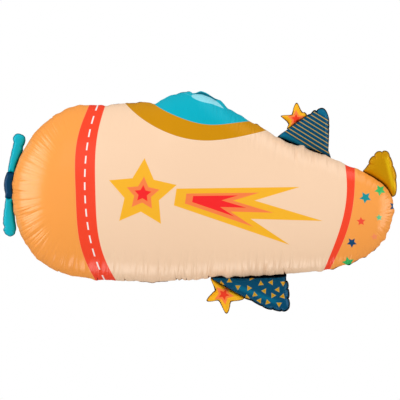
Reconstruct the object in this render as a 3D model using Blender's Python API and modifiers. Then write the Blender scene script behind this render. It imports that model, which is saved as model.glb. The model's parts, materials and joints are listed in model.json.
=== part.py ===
"""Foil balloon in the shape of a toy airplane, as it looks when it is full of gas.

Frame: metres, the nose towards -X, up is +Z, and the two foil sheets meet in the plane Y = 0.
The origin is the middle of the gas in the fuselage.

The fuselage is two foil sheets, left (-Y) and right (+Y), welded along one seam. Each sheet is built as its
printed colour fields: nose, front band, body, canopy rim, canopy, rear band and tail. The propeller, wings,
wing stars and tail fin are chambers of their own, each pinched flat along the weld that joins it to its
neighbour, and each hinges there on a living crease.
"""

import math

import bmesh
import bpy
from mathutils import Matrix, Vector

MM = 0.001

# Driving dimensions
FOIL_SHELL = 10 * MM
FUSELAGE_THICKNESS_RATIO = 0.70
SEAM_WIDTH = 2 * MM
SEAM_OVERLAP = 8 * MM
SEAM_HALF_THICKNESS = 0.5 * MM
TOUCH_GAP = 0.3 * MM
CREASE_GAP = 0.7 * MM
CREASE_TAB = 1.5 * MM
CREASE_END_CLEARANCE = 8 * MM
CREASE_DEPTH = 30 * MM
CHAMBER_WELD = 2.5 * MM
CHAMBER_WELD_HALF_THICKNESS = 0.6 * MM

WING_HALF_THICKNESS = 24 * MM
WING_STAR_HALF_THICKNESS = 12 * MM
FIN_HALF_THICKNESS = 15 * MM
HUB_HALF_THICKNESS = 11 * MM
BLADE_HALF_THICKNESS = 9 * MM

NECK_LENGTH = 66 * MM
NECK_WIDTH = 26 * MM
NECK_THICKNESS = 1.2 * MM
NECK_X = -60 * MM
NECK_SLOPE = math.radians(8)
NECK_CORNER = 5 * MM
NECK_CORNER_FACES = 3
NECK_DROP = 0.36 * MM

# Fineness of the faceted solids
STATIONS = 40
AROUND = 28
CURVE_STEPS = 4
PILLOW_ANGLES = (25, 50, 75)
FIELD_REACH = 0.7
MERGE_DISTANCE = 0.01 * MM
FUSELAGE_CREASE_DEG = 40
CHAMBER_CREASE_DEG = 50

# The fuselage seen from the side: (x, z) in millimetres, from the nose over the top and back underneath
FUSELAGE = [
    (-436, 0), (-430, 50), (-405, 107), (-362, 163), (-302, 204), (-230, 214), (-137, 218),
    (-77, 222), (-32, 240), (12, 248), (42, 245), (87, 220), (132, 187), (192, 154), (258, 119),
    (332, 92), (402, 62), (440, 47), (484, 21), (503, 2), (515, -20), (517, -45), (508, -90),
    (478, -142), (448, -165), (402, -186), (332, -202), (250, -211), (150, -216), (60, -219),
    (-77, -230), (-212, -225), (-302, -211), (-355, -188), (-405, -135), (-430, -66),
]

# The canopy rises above this line, which the fuselage's thickness follows there: (x, z) in millimetres
BROW = [(-137, 218), (225, 131)]

# Where the printed fields meet, from the top down or from front to back: (x, z) in millimetres
FRONT_BAND_FRONT = [
    (-232, 260), (-243, 212), (-262, 175), (-275, 120), (-279, 68), (-280, 2),
    (-276, -62), (-270, -118), (-256, -172), (-232, -220), (-205, -270),
]
FRONT_BAND_BACK = [
    (-192, 260), (-206, 208), (-215, 175), (-226, 120), (-230, 68), (-230, 2),
    (-226, -62), (-220, -118), (-207, -172), (-179, -222), (-150, -270),
]
REAR_BAND_FRONT = [
    (388, 110), (395, 62), (400, 20), (398, -25), (387, -78), (371, -132), (342, -200), (320, -250),
]
REAR_BAND_BACK = [
    (412, 110), (419, 52), (420, 20), (417, -25), (406, -78), (392, -126), (358, -196), (336, -250),
]
CANOPY_RIM_EDGE = [
    (-180, 252), (-155, 216), (-113, 180), (-70, 152), (-27, 134), (16, 126), (59, 124), (102, 127),
    (159, 139), (198, 149), (250, 172),
]
CANOPY_EDGE = [
    (-112, 252), (-80, 213), (-41, 192), (4, 172), (44, 165), (87, 164), (125, 168), (155, 172), (215, 190),
]

# Chambers beside the fuselage: the free edge of each, (x, z) in millimetres
UPPER_WING_ROOT = [(225, 131), (360, 81)]
UPPER_WING = [
    (249, 151), (291, 181), (312, 193), (324, 202), (338, 205), (348, 198), (354, 178), (355, 154),
    (354, 124), (354, 100),
]
UPPER_WING_RIDGE = [(275, 140), (325, 150)]
LOWER_WING_ROOT = [(60, -219), (250, -211)]
LOWER_WING = [
    (88, -243), (144, -268), (192, -295), (236, -303), (246, -303), (256, -288), (254, -268), (254, -240),
]
LOWER_WING_RIDGE = [(135, -243), (215, -262)]
TAIL_FIN_ROOT = [(440, 47), (515, -18)]
TAIL_FIN = [
    (449, 62), (456, 74), (470, 87), (483, 97), (497, 97), (506, 91), (514, 62), (523, 41), (525, 12),
    (524, -6),
]
TAIL_FIN_RIDGE = [(482, 60), (506, 22)]

# Wing stars: centre, reach of the points, angle of the first point, and the weld on the wing's leading edge
UPPER_STAR = {"centre": (272, 178), "reach": 39, "turn": 90, "weld": [(226, 133), (324, 203)]}
LOWER_STAR = {"centre": (92, -261), "reach": 50, "turn": 127, "weld": [(60, -220), (146, -269)]}
STAR_POINTS = 5
STAR_NOTCH = 0.56
STAR_BLUNTNESS_DEG = 6
STAR_BLUNT_REACH = 0.94
STAR_RIDGE_SHIFT = 8
STAR_RIDGE_HALF = 6

# The propeller stands on edge in front of the nose and hinges on an upright crease
HUB = [(-448, 44), (-454, 34), (-457, 20), (-458, 8), (-457, -6), (-453, -20)]
HUB_TOP, HUB_BOTTOM = 44, -20
HUB_RIDGE = [(-448, 26), (-448, -4)]
UPPER_BLADE = [
    (-448, 44.3), (-443, 86), (-440, 110), (-438, 120), (-434, 132), (-425, 139), (-416, 141), (-407, 136),
    (-404, 127), (-407, 118), (-413, 105), (-422, 84), (-431, 64), (-436, 44.3),
]
UPPER_BLADE_RIDGE = [(-441, 57), (-420, 126)]
LOWER_BLADE = [
    (-440, -20.3), (-437.5, -50), (-435, -70), (-430, -86), (-428, -98), (-433, -112), (-443, -117),
    (-453, -112), (-459, -101), (-461, -88), (-458, -76), (-457, -50), (-453, -20.3),
]
LOWER_BLADE_RIDGE = [(-447, -32), (-445, -103)]

# Colours as shown on the foil, linear red, green and blue
CREAM = (0.96, 0.67, 0.45)
NOSE_ORANGE = (1.00, 0.45, 0.14)
BAND_RED = (0.94, 0.08, 0.03)
TEAL = (0.00, 0.47, 0.60)
MUSTARD = (0.68, 0.29, 0.00)
FIN_MUSTARD = (0.52, 0.24, 0.00)
WING_BLUE = (0.00, 0.09, 0.21)
STAR_YELLOW = (0.97, 0.47, 0.02)
NAVY = (0.00, 0.04, 0.10)
CLEAR_FILM = (0.80, 0.80, 0.78)
FOIL_ROUGHNESS = 0.35
FOIL_METALLIC = 0.25


def clear_scene():
    for leftover in list(bpy.data.objects):
        bpy.data.objects.remove(leftover)


def new_collection(name):
    collection = bpy.data.collections.new(name)
    bpy.context.scene.collection.children.link(collection)
    return collection


def foil(name, colour):
    """A satin printed foil."""
    material = bpy.data.materials.new(name)
    material.use_nodes = True
    shader = material.node_tree.nodes["Principled BSDF"]
    shader.inputs["Base Color"].default_value = (*colour, 1)
    shader.inputs["Roughness"].default_value = FOIL_ROUGHNESS
    shader.inputs["Metallic"].default_value = FOIL_METALLIC
    material.diffuse_color = (*colour, 1)
    return material


def side_view(point):
    """A point (x, z) in millimetres as a 2D vector in metres."""
    return Vector(point) * MM


def smooth_curve(points, closed, steps=CURVE_STEPS):
    """Points along a Catmull-Rom curve through the given ones."""
    controls = [side_view(p) for p in points]
    count = len(controls)
    spans = count if closed else count - 1
    curve = []
    for i in range(spans):
        if closed:
            a, b, c, d = (controls[(i + k) % count] for k in (-1, 0, 1, 2))
        else:
            a, b, c, d = (controls[min(max(i + k, 0), count - 1)] for k in (-1, 0, 1, 2))
        for k in range(steps):
            t = k / steps
            bend = 2 * a - 5 * b + 4 * c - d
            twist = 3 * b - a - 3 * c + d
            curve.append(0.5 * (2 * b + (c - a) * t + bend * t**2 + twist * t**3))
    if not closed:
        curve.append(controls[-1])
    return curve


def mesh_object(name, bm, collection, material=None):
    mesh = bpy.data.meshes.new(name)
    bm.to_mesh(mesh)
    bm.free()
    made = bpy.data.objects.new(name, mesh)
    collection.objects.link(made)
    if material:
        mesh.materials.append(material)
    return made


def shade(made, angle):
    made.data.shade_smooth()
    made.data.set_sharp_from_angle(angle=math.radians(angle))


def fuselage_span(outline, x):
    """The top and bottom of the fuselage at x."""
    heights = []
    for a, b in zip(outline, outline[1:] + outline[:1]):
        if (a.x - x) * (b.x - x) <= 0 and a.x != b.x:
            heights.append(a.y + (b.y - a.y) * (x - a.x) / (b.x - a.x))
    return max(heights), min(heights)


def half_thickness_at(x, top, bottom):
    """Half the fuselage's thickness, which the canopy's rise leaves alone."""
    front, back = (side_view(p) for p in BROW)
    if front.x < x < back.x:
        top = min(top, front.y + (back.y - front.y) * (x - front.x) / (back.x - front.x))
    return FUSELAGE_THICKNESS_RATIO * (top - bottom) / 2


def fuselage_mesh(outline):
    """The whole inflated fuselage: elliptical sections along X, closed at the nose and the tail."""
    front = min(outline, key=lambda p: p.x)
    back = max(outline, key=lambda p: p.x)
    middle = (front.x + back.x) / 2
    half_length = (back.x - front.x) / 2
    bm = bmesh.new()
    rings = []
    for i in range(1, STATIONS):
        x = middle - half_length * math.cos(math.pi * i / STATIONS)
        top, bottom = fuselage_span(outline, x)
        half_height = (top - bottom) / 2
        half_thickness = half_thickness_at(x, top, bottom)
        ring = []
        for j in range(AROUND):
            angle = 2 * math.pi * j / AROUND
            y = half_thickness * math.sin(angle)
            z = (top + bottom) / 2 + half_height * math.cos(angle)
            ring.append(bm.verts.new((x, y, z)))
        rings.append(ring)
    nose_tip = bm.verts.new((front.x, 0, front.y))
    tail_tip = bm.verts.new((back.x, 0, back.y))
    for ring, following in zip(rings, rings[1:]):
        for j in range(AROUND):
            k = (j + 1) % AROUND
            bm.faces.new((ring[j], ring[k], following[k], following[j]))
    for j in range(AROUND):
        k = (j + 1) % AROUND
        bm.faces.new((nose_tip, rings[0][k], rings[0][j]))
        bm.faces.new((tail_tip, rings[-1][j], rings[-1][k]))
    bmesh.ops.recalc_face_normals(bm, faces=bm.faces[:])
    return bm


def prism(name, outline, y_near, y_far, collection):
    """A cutter: a side-view outline extruded across the balloon."""
    bm = bmesh.new()
    face = bm.faces.new([bm.verts.new((p.x, y_near, p.y)) for p in outline])
    pushed = bmesh.ops.extrude_face_region(bm, geom=[face])
    moved = [v for v in pushed["geom"] if isinstance(v, bmesh.types.BMVert)]
    bmesh.ops.translate(bm, verts=moved, vec=(0, y_far - y_near, 0))
    bmesh.ops.recalc_face_normals(bm, faces=bm.faces[:])
    cutter = mesh_object(name, bm, collection)
    cutter.hide_render = True
    cutter.display_type = "WIRE"
    return cutter


def shifted(line, dx=0.0, dz=0.0):
    return [Vector((p.x + dx, p.y + dz)) for p in line]


def colour_fields():
    """The side-view outline and colour of each printed field, with half the touching gap left round it."""
    reach = FIELD_REACH
    gap = TOUCH_GAP / 2
    band_front = smooth_curve(FRONT_BAND_FRONT, False)
    band_back = smooth_curve(FRONT_BAND_BACK, False)
    rear_front = smooth_curve(REAR_BAND_FRONT, False)
    rear_back = smooth_curve(REAR_BAND_BACK, False)
    rim = smooth_curve(CANOPY_RIM_EDGE, False)
    teal = smooth_curve(CANOPY_EDGE, False)
    nose = [Vector((-reach, reach))] + shifted(band_front, -gap) + [Vector((-reach, -reach))]
    front_band = shifted(band_front, gap) + shifted(band_back, -gap)[::-1]
    rear_band = shifted(rear_front, gap) + shifted(rear_back, -gap)[::-1]
    tail = shifted(rear_back, gap) + [Vector((reach, -reach)), Vector((reach, reach))]
    body = shifted(band_back, gap)[::-1] + shifted(rim, 0, -gap) + shifted(rear_front, -gap)
    canopy_rim = shifted(rim, 0, gap) + shifted(teal, 0, -gap)[::-1]
    canopy = shifted(teal, 0, gap) + [Vector((teal[-1].x, reach)), Vector((teal[0].x, reach))]
    return {
        "nose": (nose, NOSE_ORANGE),
        "front_band": (front_band, BAND_RED),
        "body": (body, CREAM),
        "canopy_rim": (canopy_rim, MUSTARD),
        "canopy": (canopy, TEAL),
        "rear_band": (rear_band, BAND_RED),
        "tail": (tail, NOSE_ORANGE),
    }


def build_fuselage(outline, parts, cutters):
    """Both foil sheets, each cut into its colour fields."""
    solid = fuselage_mesh(outline)
    whole = mesh_object("fuselage_guide", solid, cutters)
    whole.hide_render = True
    whole.display_type = "WIRE"
    seam = SEAM_HALF_THICKNESS + TOUCH_GAP
    materials = {}
    for field, (field_outline, colour) in colour_fields().items():
        materials[field] = foil(f"foil_{field}", colour)
        for side, direction in (("left", -1), ("right", 1)):
            name = f"{field}_{side}"
            cutter = prism(f"cut_{name}", field_outline, direction * seam, direction * FIELD_REACH, cutters)
            sheet = bpy.data.objects.new(name, whole.data.copy())
            parts.objects.link(sheet)
            sheet.data.materials.append(materials[field])
            wall = sheet.modifiers.new("foil wall", "SOLIDIFY")
            wall.thickness = FOIL_SHELL
            wall.offset = -1
            cut = sheet.modifiers.new("colour field", "BOOLEAN")
            cut.operation = "INTERSECT"
            cut.solver = "EXACT"
            cut.object = cutter
            shade(sheet, FUSELAGE_CREASE_DEG)


def beside_crease(point, line):
    """How far a point stands out from a crease's line, or None where it isn't next to the crease."""
    run = (point - line["start"]).dot(line["along"])
    away = (point - line["start"]).dot(line["out"])
    margin = CREASE_END_CLEARANCE
    if -margin <= run <= (line["end"] - line["start"]).length + margin and abs(away) < CREASE_DEPTH:
        return away
    return None


def crease_line(root, outline, neighbour_middle, tab):
    """Where a chamber is welded to its neighbour: a straight line, a tab's width outside the neighbour."""
    start, end = (side_view(p) for p in root)
    along = (end - start).normalized()
    out = Vector((-along.y, along.x))
    if (neighbour_middle - start).dot(out) > 0:
        out = -out
    line = {"start": start, "end": end, "along": along, "out": out}
    stands_out = [beside_crease(p, line) for p in outline]
    rise = max([0.0] + [away for away in stands_out if away is not None]) + tab
    line["start"] = start + out * rise
    line["end"] = end + out * rise
    return line


def straightened(outline, creases):
    """The outline with the stretch beside each crease laid on the crease's line."""
    laid = []
    for p in outline:
        for line in creases:
            away = beside_crease(p, line)
            if away is not None:
                p = p - line["out"] * away
        laid.append(p)
    return laid


def offset_outline(outline, distance):
    """The closed outline moved outwards by a distance; the outline runs clockwise."""
    moved = []
    for before, here, after in zip(outline[-1:] + outline[:-1], outline, outline[1:] + outline[:1]):
        along = (after - before).normalized()
        moved.append(here + Vector((-along.y, along.x)) * distance)
    return moved


def flat_plate(name, outlines, half_thickness, collection, material):
    """A flat plate in the plane Y = 0, from side-view outlines; a second outline is a hole."""
    curve = bpy.data.curves.new(name + "_outline", "CURVE")
    curve.dimensions = "2D"
    curve.fill_mode = "BOTH"
    curve.extrude = half_thickness
    for outline in outlines:
        spline = curve.splines.new("POLY")
        spline.points.add(len(outline) - 1)
        for point, p in zip(spline.points, outline):
            point.co = (p.x, p.y, 0, 1)
        spline.use_cyclic_u = True
    drawn = bpy.data.objects.new(name + "_outline", curve)
    collection.objects.link(drawn)
    bpy.context.view_layer.update()
    graph = bpy.context.evaluated_depsgraph_get()
    mesh = bpy.data.meshes.new_from_object(drawn.evaluated_get(graph))
    bm = bmesh.new()
    bm.from_mesh(mesh)
    bmesh.ops.remove_doubles(bm, verts=bm.verts[:], dist=MERGE_DISTANCE)
    bmesh.ops.rotate(bm, verts=bm.verts[:], cent=(0, 0, 0), matrix=Matrix.Rotation(math.pi / 2, 3, "X"))
    bmesh.ops.recalc_face_normals(bm, faces=bm.faces[:])
    bpy.data.objects.remove(drawn)
    bpy.data.meshes.remove(mesh)
    return mesh_object(name, bm, collection, material)


def seam_flange(outline, creases, parts):
    """The welded seam: a thin rim between the two sheets, straight where another chamber joins it."""
    outer = straightened(offset_outline(outline, SEAM_WIDTH), creases)
    inner = offset_outline(outline, -SEAM_OVERLAP)
    flat_plate("seam_flange", [outer, inner], SEAM_HALF_THICKNESS, parts, foil("foil_seam", CREAM))


def nearest_on_ridge(point, ridge):
    a, b = ridge
    t = (point - a).dot(b - a) / (b - a).length_squared
    return a + (b - a) * min(max(t, 0.0), 1.0)


def pillow(name, outline, ridge, half_thickness, parts, material):
    """A chamber between two welded sheets: a flat weld all round, swelling to a ridge on each side."""
    ridge = [side_view(p) for p in ridge]
    bm = bmesh.new()
    base = bm.faces.new([bm.verts.new((p.x, 0, p.y)) for p in outline])
    spread = bmesh.ops.extrude_face_region(bm, geom=[base])
    far = next(g for g in spread["geom"] if isinstance(g, bmesh.types.BMFace))
    weld = CHAMBER_WELD_HALF_THICKNESS
    bmesh.ops.translate(bm, verts=base.verts[:], vec=(0, -weld, 0))
    bmesh.ops.translate(bm, verts=far.verts[:], vec=(0, weld, 0))
    for cap, direction in ((base, -1), (far, 1)):
        edges = []
        for v in cap.verts:
            place = Vector((v.co.x, v.co.z))
            centre = nearest_on_ridge(place, ridge)
            edges.append((centre, place - centre))
        angles = [math.radians(angle) for angle in PILLOW_ANGLES]
        steps = [(0.0, weld)] + [(angle, weld + half_thickness * math.sin(angle)) for angle in angles]
        for angle, height in steps:
            cap = bmesh.ops.extrude_discrete_faces(bm, faces=[cap])["faces"][0]
            for v, (centre, arm) in zip(cap.verts, edges):
                inset = max(arm.length - CHAMBER_WELD, 0.0) / arm.length
                place = centre + arm * inset * math.cos(angle)
                v.co = (place.x, direction * height, place.y)
    bmesh.ops.recalc_face_normals(bm, faces=bm.faces[:])
    made = mesh_object(name, bm, parts, material)
    shade(made, CHAMBER_CREASE_DEG)
    return made


def outline_on_crease(line, free_edge):
    """A chamber's outline: its free edge, closed by the weld a crease's width away from its neighbour."""
    step = line["out"] * CREASE_GAP
    return [line["start"] + step] + [side_view(p) for p in free_edge] + [line["end"] + step]


def star_outline(star, line):
    """The part of a five-pointed star that stands clear of the wing, cut straight along the weld."""
    centre = side_view(star["centre"])
    corners = []
    for i in range(STAR_POINTS):
        tip = star["turn"] - i * 360 / STAR_POINTS
        notch = tip - 180 / STAR_POINTS
        for angle, reach in (
            (tip + STAR_BLUNTNESS_DEG, STAR_BLUNT_REACH),
            (tip, 1.0),
            (tip - STAR_BLUNTNESS_DEG, STAR_BLUNT_REACH),
            (notch, STAR_NOTCH),
        ):
            arm = Vector((math.cos(math.radians(angle)), math.sin(math.radians(angle))))
            corners.append(centre + arm * reach * star["reach"] * MM)
    limit = line["start"] + line["out"] * CREASE_GAP
    kept = []
    for here, after in zip(corners, corners[1:] + corners[:1]):
        inside = (here - limit).dot(line["out"])
        next_inside = (after - limit).dot(line["out"])
        if inside >= 0:
            kept.append(here)
        if inside * next_inside < 0:
            kept.append(here + (after - here) * inside / (inside - next_inside))
    return kept


def inflation_neck(outline, parts):
    """The flat filling neck, which leaves the bottom seam and is folded back along the far side."""
    bottom = min(fuselage_span(outline, NECK_X + side * NECK_WIDTH / 2)[1] for side in (-1, 0, 1))
    near_seam = SEAM_HALF_THICKNESS + TOUCH_GAP
    bpy.ops.mesh.primitive_cube_add(size=1)
    neck = bpy.context.object
    neck.name = neck.data.name = "inflation_neck"
    for holder in list(neck.users_collection):
        holder.objects.unlink(neck)
    parts.objects.link(neck)
    neck.data.transform(Matrix.Diagonal((NECK_WIDTH, NECK_LENGTH, NECK_THICKNESS, 1)))
    neck.data.transform(Matrix.Translation((0, NECK_LENGTH / 2, -NECK_THICKNESS / 2)))
    neck.rotation_euler = (NECK_SLOPE, 0, 0)
    neck.location = (NECK_X, near_seam + NECK_THICKNESS * math.sin(NECK_SLOPE), bottom - NECK_DROP)
    neck.data.materials.append(foil("neck_film", CLEAR_FILM))
    corners = neck.modifiers.new("rounded end", "BEVEL")
    corners.width = NECK_CORNER
    corners.segments = NECK_CORNER_FACES
    corners.limit_method = "VGROUP"
    end = neck.vertex_groups.new(name="end")
    end.add([v.index for v in neck.data.vertices if v.co.y > NECK_LENGTH / 2], 1.0, "REPLACE")
    corners.vertex_group = "end"


def build():
    clear_scene()
    parts = new_collection("airplane_foil_balloon")
    cutters = new_collection("cutters")
    outline = smooth_curve(FUSELAGE, True)
    middle = Vector((0, 0))
    build_fuselage(outline, parts, cutters)

    upper = crease_line(UPPER_WING_ROOT, outline, middle, CREASE_TAB)
    lower = crease_line(LOWER_WING_ROOT, outline, middle, CREASE_TAB)
    fin = crease_line(TAIL_FIN_ROOT, outline, middle, CREASE_TAB)
    seam_flange(outline, [upper, lower, fin], parts)
    inflation_neck(outline, parts)

    wing_blue = foil("foil_wing", WING_BLUE)
    star_yellow = foil("foil_star", STAR_YELLOW)
    wings = (
        ("upper_wing", upper, UPPER_WING, UPPER_WING_RIDGE, UPPER_STAR),
        ("lower_wing", lower, LOWER_WING, LOWER_WING_RIDGE, LOWER_STAR),
    )
    for name, line, free_edge, ridge, star in wings:
        wing_outline = outline_on_crease(line, free_edge)
        wing_middle = sum((side_view(p) for p in ridge), Vector((0, 0))) / 2
        weld = crease_line(star["weld"], wing_outline[1:-1], wing_middle, 0)
        wing_outline[1:-1] = straightened(wing_outline[1:-1], [weld])
        pillow(name, wing_outline, ridge, WING_HALF_THICKNESS, parts, wing_blue)
        centre = Vector(star["centre"]) + weld["out"] * STAR_RIDGE_SHIFT
        ridge_half = weld["along"] * STAR_RIDGE_HALF
        star_ridge = [centre - ridge_half, centre + ridge_half]
        star_loop = star_outline(star, weld)
        pillow(f"{name}_star", star_loop, star_ridge, WING_STAR_HALF_THICKNESS, parts, star_yellow)
    pillow(
        "tail_fin", outline_on_crease(fin, TAIL_FIN), TAIL_FIN_RIDGE, FIN_HALF_THICKNESS, parts,
        foil("foil_fin", FIN_MUSTARD),
    )

    nose_x = min(p.x for p in outline) - SEAM_WIDTH - CREASE_GAP
    hub_outline = [side_view(p) for p in HUB]
    hub_outline += [Vector((nose_x, HUB_BOTTOM * MM)), Vector((nose_x, HUB_TOP * MM))]
    blade_teal = foil("foil_blade", TEAL)
    pillow("propeller_hub", hub_outline, HUB_RIDGE, HUB_HALF_THICKNESS, parts, foil("foil_hub", NAVY))
    blades = (
        ("upper_propeller_blade", UPPER_BLADE, UPPER_BLADE_RIDGE),
        ("lower_propeller_blade", LOWER_BLADE, LOWER_BLADE_RIDGE),
    )
    for name, blade, ridge in blades:
        pillow(name, [side_view(p) for p in blade], ridge, BLADE_HALF_THICKNESS, parts, blade_teal)


build()
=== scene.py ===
# %% [markdown]
# An airplane-shaped foil balloon, dressed for its portrait.
#
# A foil balloon is two flat printed sheets, welded along one seam and blown up. The foil can't stretch, so the
# seam is drawn up into hundreds of small puckers. Every cell below makes one piece or one finish of it.

# %% Load the frame
import json
import math

import bmesh
import bpy
import numpy as np
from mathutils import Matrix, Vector


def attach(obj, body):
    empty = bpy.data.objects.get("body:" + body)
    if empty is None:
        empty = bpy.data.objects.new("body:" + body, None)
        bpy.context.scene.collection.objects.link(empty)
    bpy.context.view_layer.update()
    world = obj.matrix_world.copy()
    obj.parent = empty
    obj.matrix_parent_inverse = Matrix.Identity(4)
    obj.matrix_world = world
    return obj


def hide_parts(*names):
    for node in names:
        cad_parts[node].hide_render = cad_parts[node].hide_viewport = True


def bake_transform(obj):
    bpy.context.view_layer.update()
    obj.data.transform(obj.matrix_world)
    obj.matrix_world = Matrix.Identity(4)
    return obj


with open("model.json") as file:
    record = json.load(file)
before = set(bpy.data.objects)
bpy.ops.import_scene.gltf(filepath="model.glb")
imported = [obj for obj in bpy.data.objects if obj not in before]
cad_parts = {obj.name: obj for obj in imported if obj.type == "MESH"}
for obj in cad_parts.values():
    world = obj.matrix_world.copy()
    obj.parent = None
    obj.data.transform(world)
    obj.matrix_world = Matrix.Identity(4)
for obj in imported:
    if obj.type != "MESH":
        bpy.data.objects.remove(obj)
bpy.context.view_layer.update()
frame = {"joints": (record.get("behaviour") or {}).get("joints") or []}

MM = 0.001

# %% [markdown]
# A printed balloon is designed in side view, so outlines and prints are written there. One pixel of the
# photograph is 2.5 mm on the plane of the seam, and the CAD model's origin is at pixel (187, 190).

# %% Side-view curves
PIXEL = 2.5 * MM
ORIGIN_PIXEL = (187, 190)


def place_of(pixels):
    """Side-view places (x, z) in metres of points given in pixels of the photograph."""
    pixels = np.asarray(pixels, float)
    return (pixels - ORIGIN_PIXEL) * (PIXEL, -PIXEL)


def smooth_loop(points, steps=24):
    p = np.asarray(points, float)
    a, b, c, d = (np.roll(p, k, axis=0)[:, None] for k in (1, 0, -1, -2))
    t = (np.arange(steps) / steps)[None, :, None]
    curve = 0.5 * (2 * b + (c - a) * t + (2 * a - 5 * b + 4 * c - d) * t**2 + (3 * b - a - 3 * c + d) * t**3)
    return curve.reshape(-1, 2)


def lengths_along(loop):
    """How far along the loop each of its points is, and its whole length."""
    steps = np.linalg.norm(np.roll(loop, -1, axis=0) - loop, axis=1)
    return np.concatenate([[0], np.cumsum(steps)[:-1]]), steps.sum()


def points_at(loop, places):
    along, total = lengths_along(loop)
    return np.stack([np.interp(places, along, loop[:, k], period=total) for k in (0, 1)], -1)


def apart(places, others, total):
    """How far places are from others along a closed seam, the short way round; negative if behind."""
    return (places - others + total / 2) % total - total / 2


# %% [markdown]
# Small curves shape all that swells, sinks or fades: a ramp from 0 to 1, its soft form, and a bell, which a
# higher power makes flatter on top.

# %% Ramps and bells
def ramp(value, start, end):
    return np.clip((value - start) / (end - start), 0, 1)


def eased(share):
    return share * share * (3 - 2 * share)


def bell(distance, width, power=2):
    return np.exp(-np.abs(distance / width) ** power)


# %% [markdown]
# A sheet is cut as columns that run from the seam to a ridge line in its middle, where those of the upper
# and the lower half meet point to point. Fine columns can carry a fine pucker, and the middle stays smooth.

# %% Columns from the seam to the ridge
SHORTEST_RIDGE = 0.1 * MM


def cut_columns(loop, ridge, step):
    """Seam points about one step apart, each column's ridge point, and the lengths along the seam.

    The loop is turned to start above the ridge's first end, so that both long sides have equally many columns.
    """
    ridge = np.asarray(ridge, float)
    run = ridge[1] - ridge[0]
    if run @ run < SHORTEST_RIDGE**2:
        total = lengths_along(loop)[1]
        places = np.linspace(0, total, int(total / step), endpoint=False)
        seam = points_at(loop, places)
        return seam, np.repeat(ridge[:1], len(seam), axis=0), places, total
    share = (loop - ridge[0]) @ run / (run @ run)
    beyond = np.where(share < 0, -1, np.where(share > 1, 1, 0))
    start = next(i for i in range(len(loop)) if beyond[i] == 0 and beyond[i - 1] == -1)
    loop, beyond = np.roll(loop, -start, axis=0), np.roll(beyond, -start)
    along, total = lengths_along(loop)
    turns = [along[i] for i in range(1, len(loop)) if beyond[i] != beyond[i - 1]]
    first_side, tip, second_side, root = np.diff([0, turns[0], turns[1], turns[2], total])
    side_count = int(max(first_side, second_side) / step)
    places, feet, at = [], [], 0
    for length, count, foot, next_foot in (
        (first_side, side_count, ridge[0], ridge[1]), (tip, int(tip / step), ridge[1], ridge[1]),
        (second_side, side_count, ridge[1], ridge[0]), (root, int(root / step), ridge[0], ridge[0]),
    ):
        share = np.arange(count) / count
        places.append(at + length * share)
        feet.append(foot + (next_foot - foot) * share[:, None])
        at += length
    places = np.concatenate(places)
    return points_at(loop, places), np.concatenate(feet), places, total


# %% [markdown]
# A pucker is a narrow valley that starts at the weld, is deepest a little way in, and fades out. Each gets
# its own place, width, depth, length and slant from a seeded draw, so the pattern is uneven, as on real
# foil, and the same on every run.

# %% Puckers
GAP_SHARES, WIDTH_SHARES, DEPTH_SHARES, PEAK_SHARES = (0.65, 1.35), (0.2, 0.34), (0.3, 1.0), (0.6, 1.5)
VALLEY_POWER, VALLEY_WIDTHS = 1.6, 4
TINY = 1e-12


def draw_puckers(rng, total, spacing, depth, peak, slant):
    """Rows of place along the seam, width, depth, distance of the deepest point, and slant."""
    places = [rng.uniform(0, spacing)]
    while places[-1] < total - spacing:
        places.append(places[-1] + spacing * rng.uniform(*GAP_SHARES))
    count = len(places)
    return np.stack([
        places, spacing * rng.uniform(*WIDTH_SHARES, count), depth * rng.uniform(*DEPTH_SHARES, count),
        peak * rng.uniform(*PEAK_SHARES, count), rng.uniform(-slant, slant, count),
    ], 1)


def sunk_by(puckers, along, total, inwards):
    """How far the foil sinks, from lengths along the seam and distances from it."""
    sink = np.zeros_like(inwards)
    for place, width, depth, peak, slant in puckers:
        reach = VALLEY_WIDTHS * width + abs(slant) * inwards.max()
        near = np.abs(apart(along, place, total)) < reach
        deep_in = inwards[:, near]
        beside = apart(along[near], place + slant * deep_in, total)
        share = deep_in / peak
        sink[:, near] += depth * bell(beside, width, VALLEY_POWER) * share * np.exp(1 - share)
    return sink


def wander(rng, along, total, wavelength):
    """A smooth random wave between -1 and 1 round a closed seam."""
    knots = rng.uniform(-1, 1, max(int(total / wavelength), 4))
    at = along / total * len(knots)
    low = np.floor(at).astype(int)
    share = eased(at - low)
    return knots[low % len(knots)] * (1 - share) + knots[(low + 1) % len(knots)] * share


# %% [markdown]
# A sheet is first a grid of points: its first row is the weld, and its columns run in to the ridge.

# %% Grids of points
def distances_in(grid):
    steps = np.linalg.norm(np.diff(grid, axis=0), axis=2)
    return np.concatenate([np.zeros((1, grid.shape[1])), np.cumsum(steps, axis=0)])


def slide(grid, way, distance):
    grid[..., 0] += way[:, 0] * distance
    grid[..., 2] += way[:, 1] * distance


def outward_normals(grid, direction):
    """Unit normals of rows and columns of points, turned to the given side of the balloon."""
    along = np.roll(grid, -1, axis=1) - np.roll(grid, 1, axis=1)
    normal = np.cross(along, np.gradient(grid, axis=0))
    normal /= np.maximum(np.linalg.norm(normal, axis=2, keepdims=True), TINY)
    middle = normal[len(normal) // 2, :, 1].mean()
    return normal * (1 if middle * direction > 0 else -1)


# %% [markdown]
# Then it is sewn: the seam is laid as a ring of edges, and the ring is extruded once for every row. The last
# row lies on the ridge, where merging by distance closes it. A layer on the points keeps how far each is
# from the weld, because a painted shade darkens the colour there.

# %% Sheets grown from a ring
CLOSING_DISTANCE = 0.05 * MM


def lay_ring(bm, points):
    ring = [bm.verts.new(p) for p in points]
    return [bm.edges.new((a, b)) for a, b in zip(ring, ring[1:] + ring[:1])]


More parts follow.
